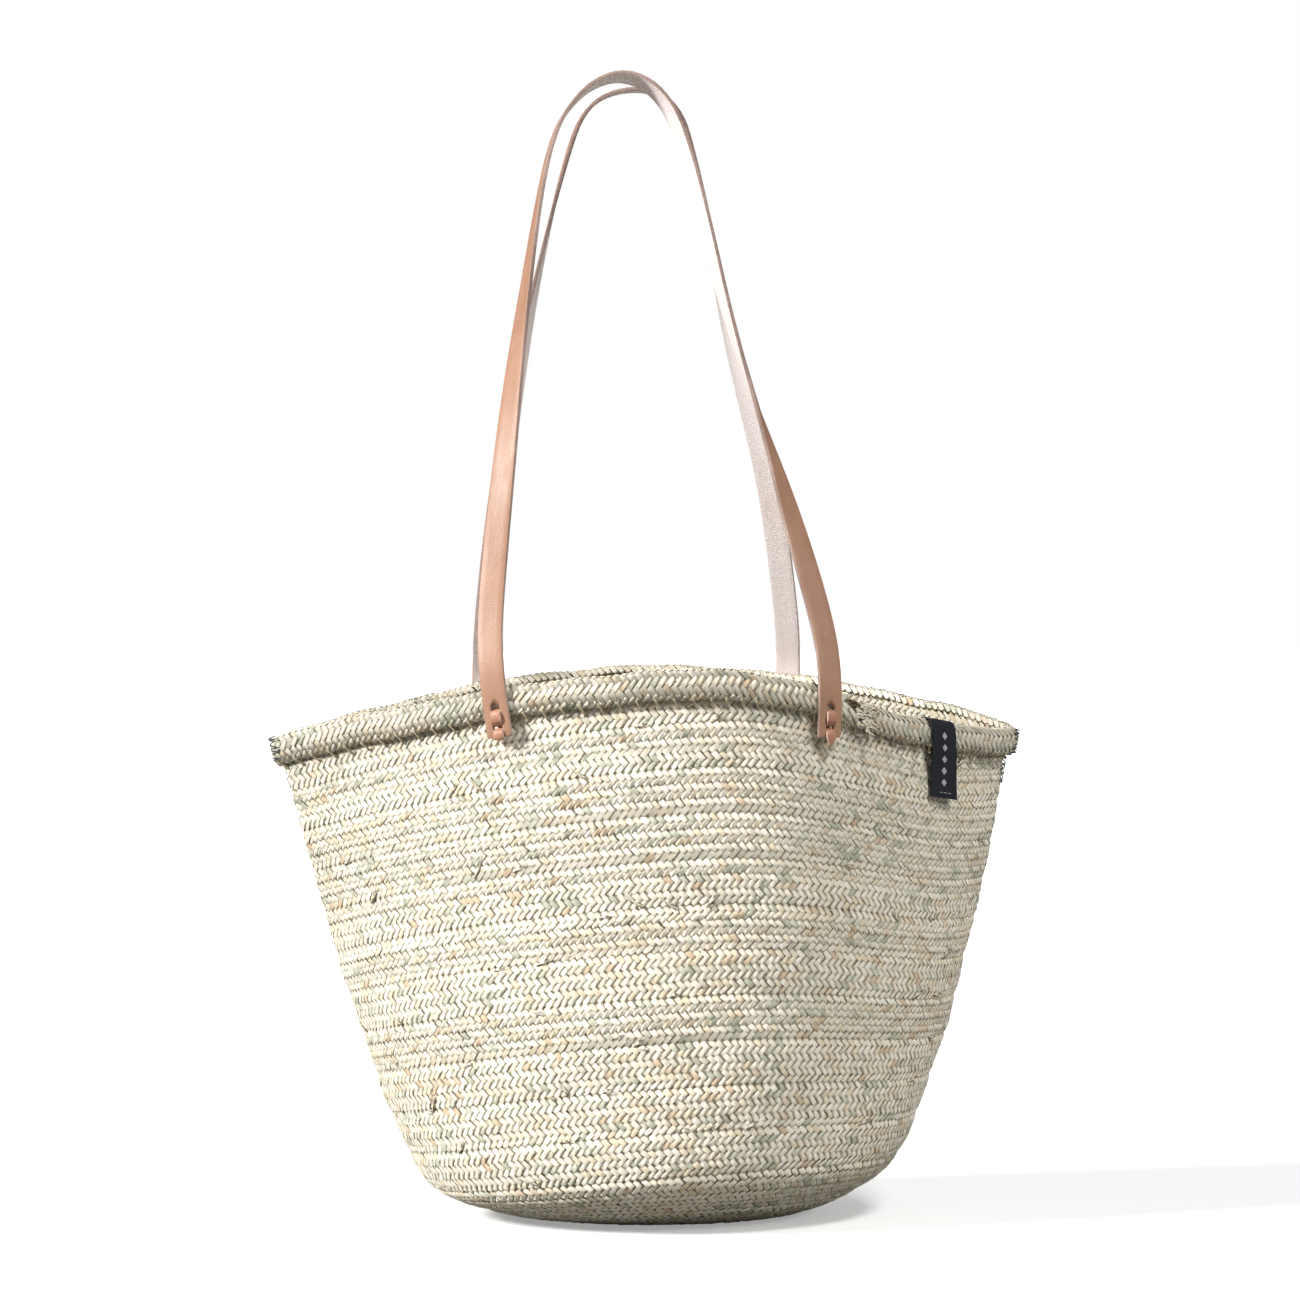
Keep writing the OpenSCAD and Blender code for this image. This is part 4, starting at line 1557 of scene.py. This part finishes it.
    def build_strap(self, finishes: Finishes) -> bpy.types.Object:
        """Bends the flat strap along its line between its two roots on the hem, attached to no body.

        Args:
            finishes: the materials.

        Returns:
            The strap.
        """
        points, faces = self.line()
        lengths = run_lengths(points)
        mesh = self.blank(float(lengths[-1]))
        across, out = frames_along(points, faces)
        flat = read_points(mesh)
        along = np.clip(flat[:, 0], 0.0, lengths[-1])
        pick = [np.stack([np.interp(along, lengths, table[:, axis]) for axis in range(3)], axis=-1)
                for table in (points, across, out)]
        spot = pick[0] + unit_rows(pick[1]) * flat[:, 1:2] + unit_rows(pick[2]) * flat[:, 2:3]
        write_points(mesh, spot)
        name = self.wall.value
        piece = object_from(mesh, f"{name}_leather_strap", finishes.grain, finishes.flesh, finishes.cut)
        fit_up(piece, "", f"{name}_strap", f"{name}_strap_left_end", f"{name}_strap_right_end")
        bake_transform(piece)
        return piece

    def build_lace(self, finishes: Finishes, number: int) -> bpy.types.Object:
        """Threads a lace through one end: a short loop outside, a tongue, and a bar inside.

        Args:
            finishes: the materials.
            number: 0 for the left end, 1 for the right.

        Returns:
            The lace.
        """
        root = self.roots[number]
        loop = np.array([(-0.0133, -0.0300, 2.6), (-0.0136, -0.0270, 3.3), (-0.0137, -0.0210, 3.6),
                         (-0.0135, -0.0160, 3.3), (-0.0110, -0.0150, 2.4), (-0.0060, -0.0158, 2.2),
                         (-0.0015, -0.0166, 2.4), (0.0012, -0.0171, 2.8), (0.0024, -0.0185, 3.4),
                         (0.0029, -0.0212, 3.7), (0.0025, -0.0238, 3.4), (0.0012, -0.0252, 2.8),
                         (-0.0015, -0.0258, 2.4), (-0.0060, -0.0262, 2.1), (-0.0115, -0.0262, 1.6)])
        end, point = self.tongue_length[number], self.tongue_point[number]
        tongue = np.array([(-0.0110, -0.0276, 1.6), (-0.0050, -0.0278, 2.2), (-0.0008, -0.0281, 2.5),
                           (0.0013, -0.0288, 2.9), (0.0023, -0.0303, 3.6), (0.0025, -0.0322, 3.7 * 0.97),
                           (0.0024, -(0.0322 + end) / 2, 3.7 * (0.6 + 0.4 * point)),
                           (0.0019, -end, 0.9 + 1.6 * point)])
        work = bmesh.new()
        for path in (loop, tongue):
            marks = np.linspace(0, len(path) - 1, 6 * len(path))
            out, up, wide = (np.interp(marks, np.arange(len(path)), path[:, k]) for k in range(3))
            out, up, wide = (np.convolve(np.pad(row, 3, mode="edge"), np.ones(7) / 7, "valid")
                             for row in (out, up, wide))
            line = root.spot(0.0, out, up)
            way = np.gradient(line, axis=0)
            facing = np.cross(way, root.across)
            mesh = strands("lace_part", line[None], facing[None], (wide / 1000.0)[None], 0.0009, 12, 0.6)
            work.from_mesh(mesh)
            bpy.data.meshes.remove(mesh)
        name = f"{self.wall.value}_{('left', 'right')[number]}_lace"
        mesh = mesh_from(work, name + "_leather")
        sides = Vector(root.across)
        for face in mesh.polygons:
            face.material_index = 1 if abs(face.normal.dot(sides)) > 0.75 else 0
        piece = object_from(mesh, name + "_leather", finishes.lace, finishes.lace_cut)
        return fit_up(piece, "root", name)

    def build(self, finishes: Finishes) -> None:
        """Makes the strap and its two laces."""
        self.build_strap(finishes)
        self.build_lace(finishes, 0)
        self.build_lace(finishes, 1)


# ---- label ----------------------------------------------------------------------------------


@dataclass
class RibbonLabel:
    """A black ribbon folded over the rim, with a plain woven row of small diamonds."""

    surface: BasketSurface
    x: float = 0.172
    width: float = 0.022
    thickness: float = 0.0008
    drop: float = 0.052
    path: tuple[tuple[float, float], ...] = (
        (-0.0044, 0.0160), (-0.0046, 0.0090), (-0.0046, 0.0020), (-0.0024, -0.0018), (0.0010, -0.0030),
        (0.0048, -0.0026), (0.0078, -0.0004), (0.0088, 0.0040), (0.0088, 0.0090), (0.0084, 0.0160),
        (0.0076, 0.0230), (0.0066, 0.0310), (0.0058, 0.0420), (0.0056, 0.0520))
    cell: float = 0.0005
    motif_first: float = 0.036
    motif_step: float = 0.0072
    motif_half: float = 0.0024
    stitch_run: float = 0.0026

    def build(self, finishes: Finishes) -> bpy.types.Object:
        """Weaves the ribbon, folds it over the rim and tacks it down.

        Args:
            finishes: the materials.

        Returns:
            The finished piece.
        """
        surface = self.surface
        angle = surface.angle_at(self.x, 271.0, 359.0)
        fine = curve_through(np.array(self.path), 12)
        line = surface.hem_place(angle, fine[:, 1], fine[:, 0])
        lengths = run_lengths(line)
        whole = float(lengths[-1])
        work = bmesh.new()
        bmesh.ops.create_grid(work, x_segments=int(whole / self.cell),
                              y_segments=int(self.width / self.cell), size=0.5)
        bmesh.ops.scale(work, verts=work.verts, vec=(whole, self.width, 1.0))
        bmesh.ops.translate(work, verts=work.verts, vec=(whole / 2, 0, -self.thickness / 2))
        raised = bmesh.ops.extrude_face_region(work, geom=work.faces[:], use_keep_orig=True)["geom"]
        top = [part for part in raised if isinstance(part, bmesh.types.BMVert)]
        bmesh.ops.translate(work, verts=top, vec=(0, 0, self.thickness))
        mesh = mesh_from(work, "ribbon_label")
        flat = read_points(mesh)
        across_way = surface.round_dir(surface.rim_turn, angle)
        along_way = unit_rows(np.gradient(line, axis=0))
        out_way = np.cross(across_way, -along_way)
        pick = [np.stack([np.interp(flat[:, 0], lengths, table[:, axis]) for axis in range(3)], axis=-1)
                for table in (line, out_way)]
        curl = 0.0010 * np.sin(flat[:, 0] * 60.0 + 0.6) * (flat[:, 1] / self.width) * 2.0
        lift = flat[:, 2] + np.where(flat[:, 0] > 0.5 * whole, curl, 0.0)
        write_points(mesh, pick[0] - across_way * flat[:, 1:2] + unit_rows(pick[1]) * lift[:, None])
        write_attribute(mesh, "ribbon_place", np.stack([flat[:, 0], flat[:, 1], flat[:, 2]], axis=-1))
        from_first = flat[:, 0] - self.motif_first
        number = np.clip(np.rint(from_first / self.motif_step), 0, 4)
        reach = np.abs(from_first - number * self.motif_step) + np.abs(flat[:, 1])
        ring = np.clip((self.motif_half - reach) / 0.0004 + 0.5, 0, 1)
        write_attribute(mesh, "ribbon_mark", np.where(flat[:, 2] > 0, ring, 0.0))
        mesh.update()
        label = fit_up(object_from(mesh, "ribbon_label", finishes.ribbon), "root", "label")
        self.tack(finishes, angle, across_way)
        return label

    def tack(self, finishes: Finishes, angle: float, across_way: np.ndarray) -> bpy.types.Object:
        """Sews the ribbon's lower end down with three short stitches.

        Args:
            finishes: the materials.
            angle: degrees round the basket.
            across_way: the direction across the ribbon.

        Returns:
            The stitches.
        """
        surface = self.surface
        starts = np.array([-0.0052, -0.0012, 0.0028])
        share = np.linspace(0, 1, 5)
        base = surface.hem_place(angle, self.drop - 0.0035, 0.0064)
        out = surface.out_dir(surface.rim_turn - 1.5, angle)
        lift = 0.0006 * np.sin(share * math.pi) - 0.0001
        across = (starts[:, None] + self.stitch_run * share)[..., None]
        lines = base + across_way * across + out * lift[None, :, None]
        up = np.broadcast_to(out, lines.shape)
        mesh = strands("label_tack", lines, up, 0.0004, 0.0004)
        return fit_up(object_from(mesh, "label_tack", finishes.stitch), "root", "label_stitch")


# ---- studio ---------------------------------------------------------------------------------


@dataclass(frozen=True)
class Studio:
    """The floor, the lights and the camera."""

    floor_size: float = 40.0
    camera_distance: float = 2.9
    camera_turn: float = 6.0
    camera_height: float = 0.403
    aim_right: float = 0.0020
    aim_down: float = 0.002
    lens: float = 128.5
    key_strength: float = 4.9
    key_from: tuple[float, float, float] = (-0.95, -0.24, 0.50)
    key_soft: float = 12.0
    side_strength: float = 0.75
    side_from: tuple[float, float, float] = (0.80, -0.62, 0.50)
    side_soft: float = 9.0
    wash_strength: float = 1.6
    wash_from: tuple[float, float, float] = (0.35, -0.60, 1.0)
    wash_soft: float = 14.0
    fill_strength: float = 0.15
    backdrop: float = 1.0

    def build(self, low: Vector, high: Vector) -> None:
        """Sets up the floor, the lights and the camera round the object's box.

        Args:
            low: the box's lowest corner.
            high: the box's highest corner.
        """
        self.lay_floor(low.z)
        self.light()
        self.place_camera((low + high) / 2)

    def lay_floor(self, level: float) -> None:
        """Lays a wide plain floor.

        Args:
            level: the floor's height.
        """
        work = bmesh.new()
        bmesh.ops.create_grid(work, x_segments=2, y_segments=2, size=self.floor_size / 2,
                              matrix=Matrix.Translation((0, 0, level)))
        mesh = bpy.data.meshes.new("studio_floor")
        work.to_mesh(mesh)
        work.free()
        object_from(mesh, "studio_floor", FloorFinish().material())

    def light(self) -> None:
        """Hangs the key light and sets the even light from all round."""
        for name, strength, soft, way in (("key", self.key_strength, self.key_soft, self.key_from),
                                          ("side", self.side_strength, self.side_soft, self.side_from),
                                          ("wash", self.wash_strength, self.wash_soft, self.wash_from)):
            light = bpy.data.lights.new(name, "SUN")
            light.energy = strength
            light.angle = math.radians(soft)
            lamp = bpy.data.objects.new(name, light)
            bpy.context.scene.collection.objects.link(lamp)
            lamp.rotation_mode = "QUATERNION"
            lamp.rotation_quaternion = Vector(way).to_track_quat("Z", "Y")
        world = bpy.data.worlds.new("studio")
        world.use_nodes = True
        bpy.context.scene.world = world
        tree = world.node_tree
        seen = tree.nodes.new("ShaderNodeBackground")
        seen.inputs["Strength"].default_value = self.backdrop
        seen.inputs["Color"].default_value = (1.0, 1.0, 1.0, 1.0)
        around = tree.nodes["Background"]
        around.inputs["Color"].default_value = (0.97, 0.985, 1.0, 1.0)
        around.inputs["Strength"].default_value = self.fill_strength
        path = tree.nodes.new("ShaderNodeLightPath")
        mix = tree.nodes.new("ShaderNodeMixShader")
        tree.links.new(path.outputs["Is Camera Ray"], mix.inputs["Fac"])
        tree.links.new(around.outputs["Background"], mix.inputs[1])
        tree.links.new(seen.outputs["Background"], mix.inputs[2])
        tree.links.new(mix.outputs["Shader"], tree.nodes["World Output"].inputs["Surface"])
        bpy.context.scene.view_settings.view_transform = "Standard"

    def place_camera(self, centre: Vector) -> None:
        """Stands the camera in front of the basket, a little to its left.

        Args:
            centre: the middle of the object's box.
        """
        data = bpy.data.cameras.new("camera")
        data.lens = self.lens
        camera = bpy.data.objects.new("camera", data)
        bpy.context.scene.collection.objects.link(camera)
        turn = math.radians(self.camera_turn)
        camera.location = (centre.x + self.aim_right - self.camera_distance * math.sin(turn),
                           centre.y - self.camera_distance * math.cos(turn), self.camera_height)
        aim = Vector((centre.x + self.aim_right, centre.y, centre.z - self.aim_down))
        camera.rotation_mode = "QUATERNION"
        camera.rotation_quaternion = (aim - camera.location).to_track_quat("-Z", "Y")
        bpy.context.scene.camera = camera


def main() -> None:
    """Builds the basket, sub-assembly by sub-assembly, and the studio round it."""
    logging.basicConfig(level=logging.INFO, format="%(message)s")
    finishes = Finishes.mixed()
    surface = BasketSurface()
    weaver = PlaitWeaver(LeafStock(), surface)
    body = CoiledBody(surface, weaver)
    body.build(finishes)
    RimHem(surface, weaver).build(finishes)
    LooseEnds(surface).build(finishes)
    Stitching(surface).build(finishes)
    Handle.front(surface).build(finishes)
    Handle.rear(surface).build(finishes)
    RibbonLabel(surface).build(finishes)
    Studio().build(*CAD_BOX)


if __name__ == "__main__":
    main()
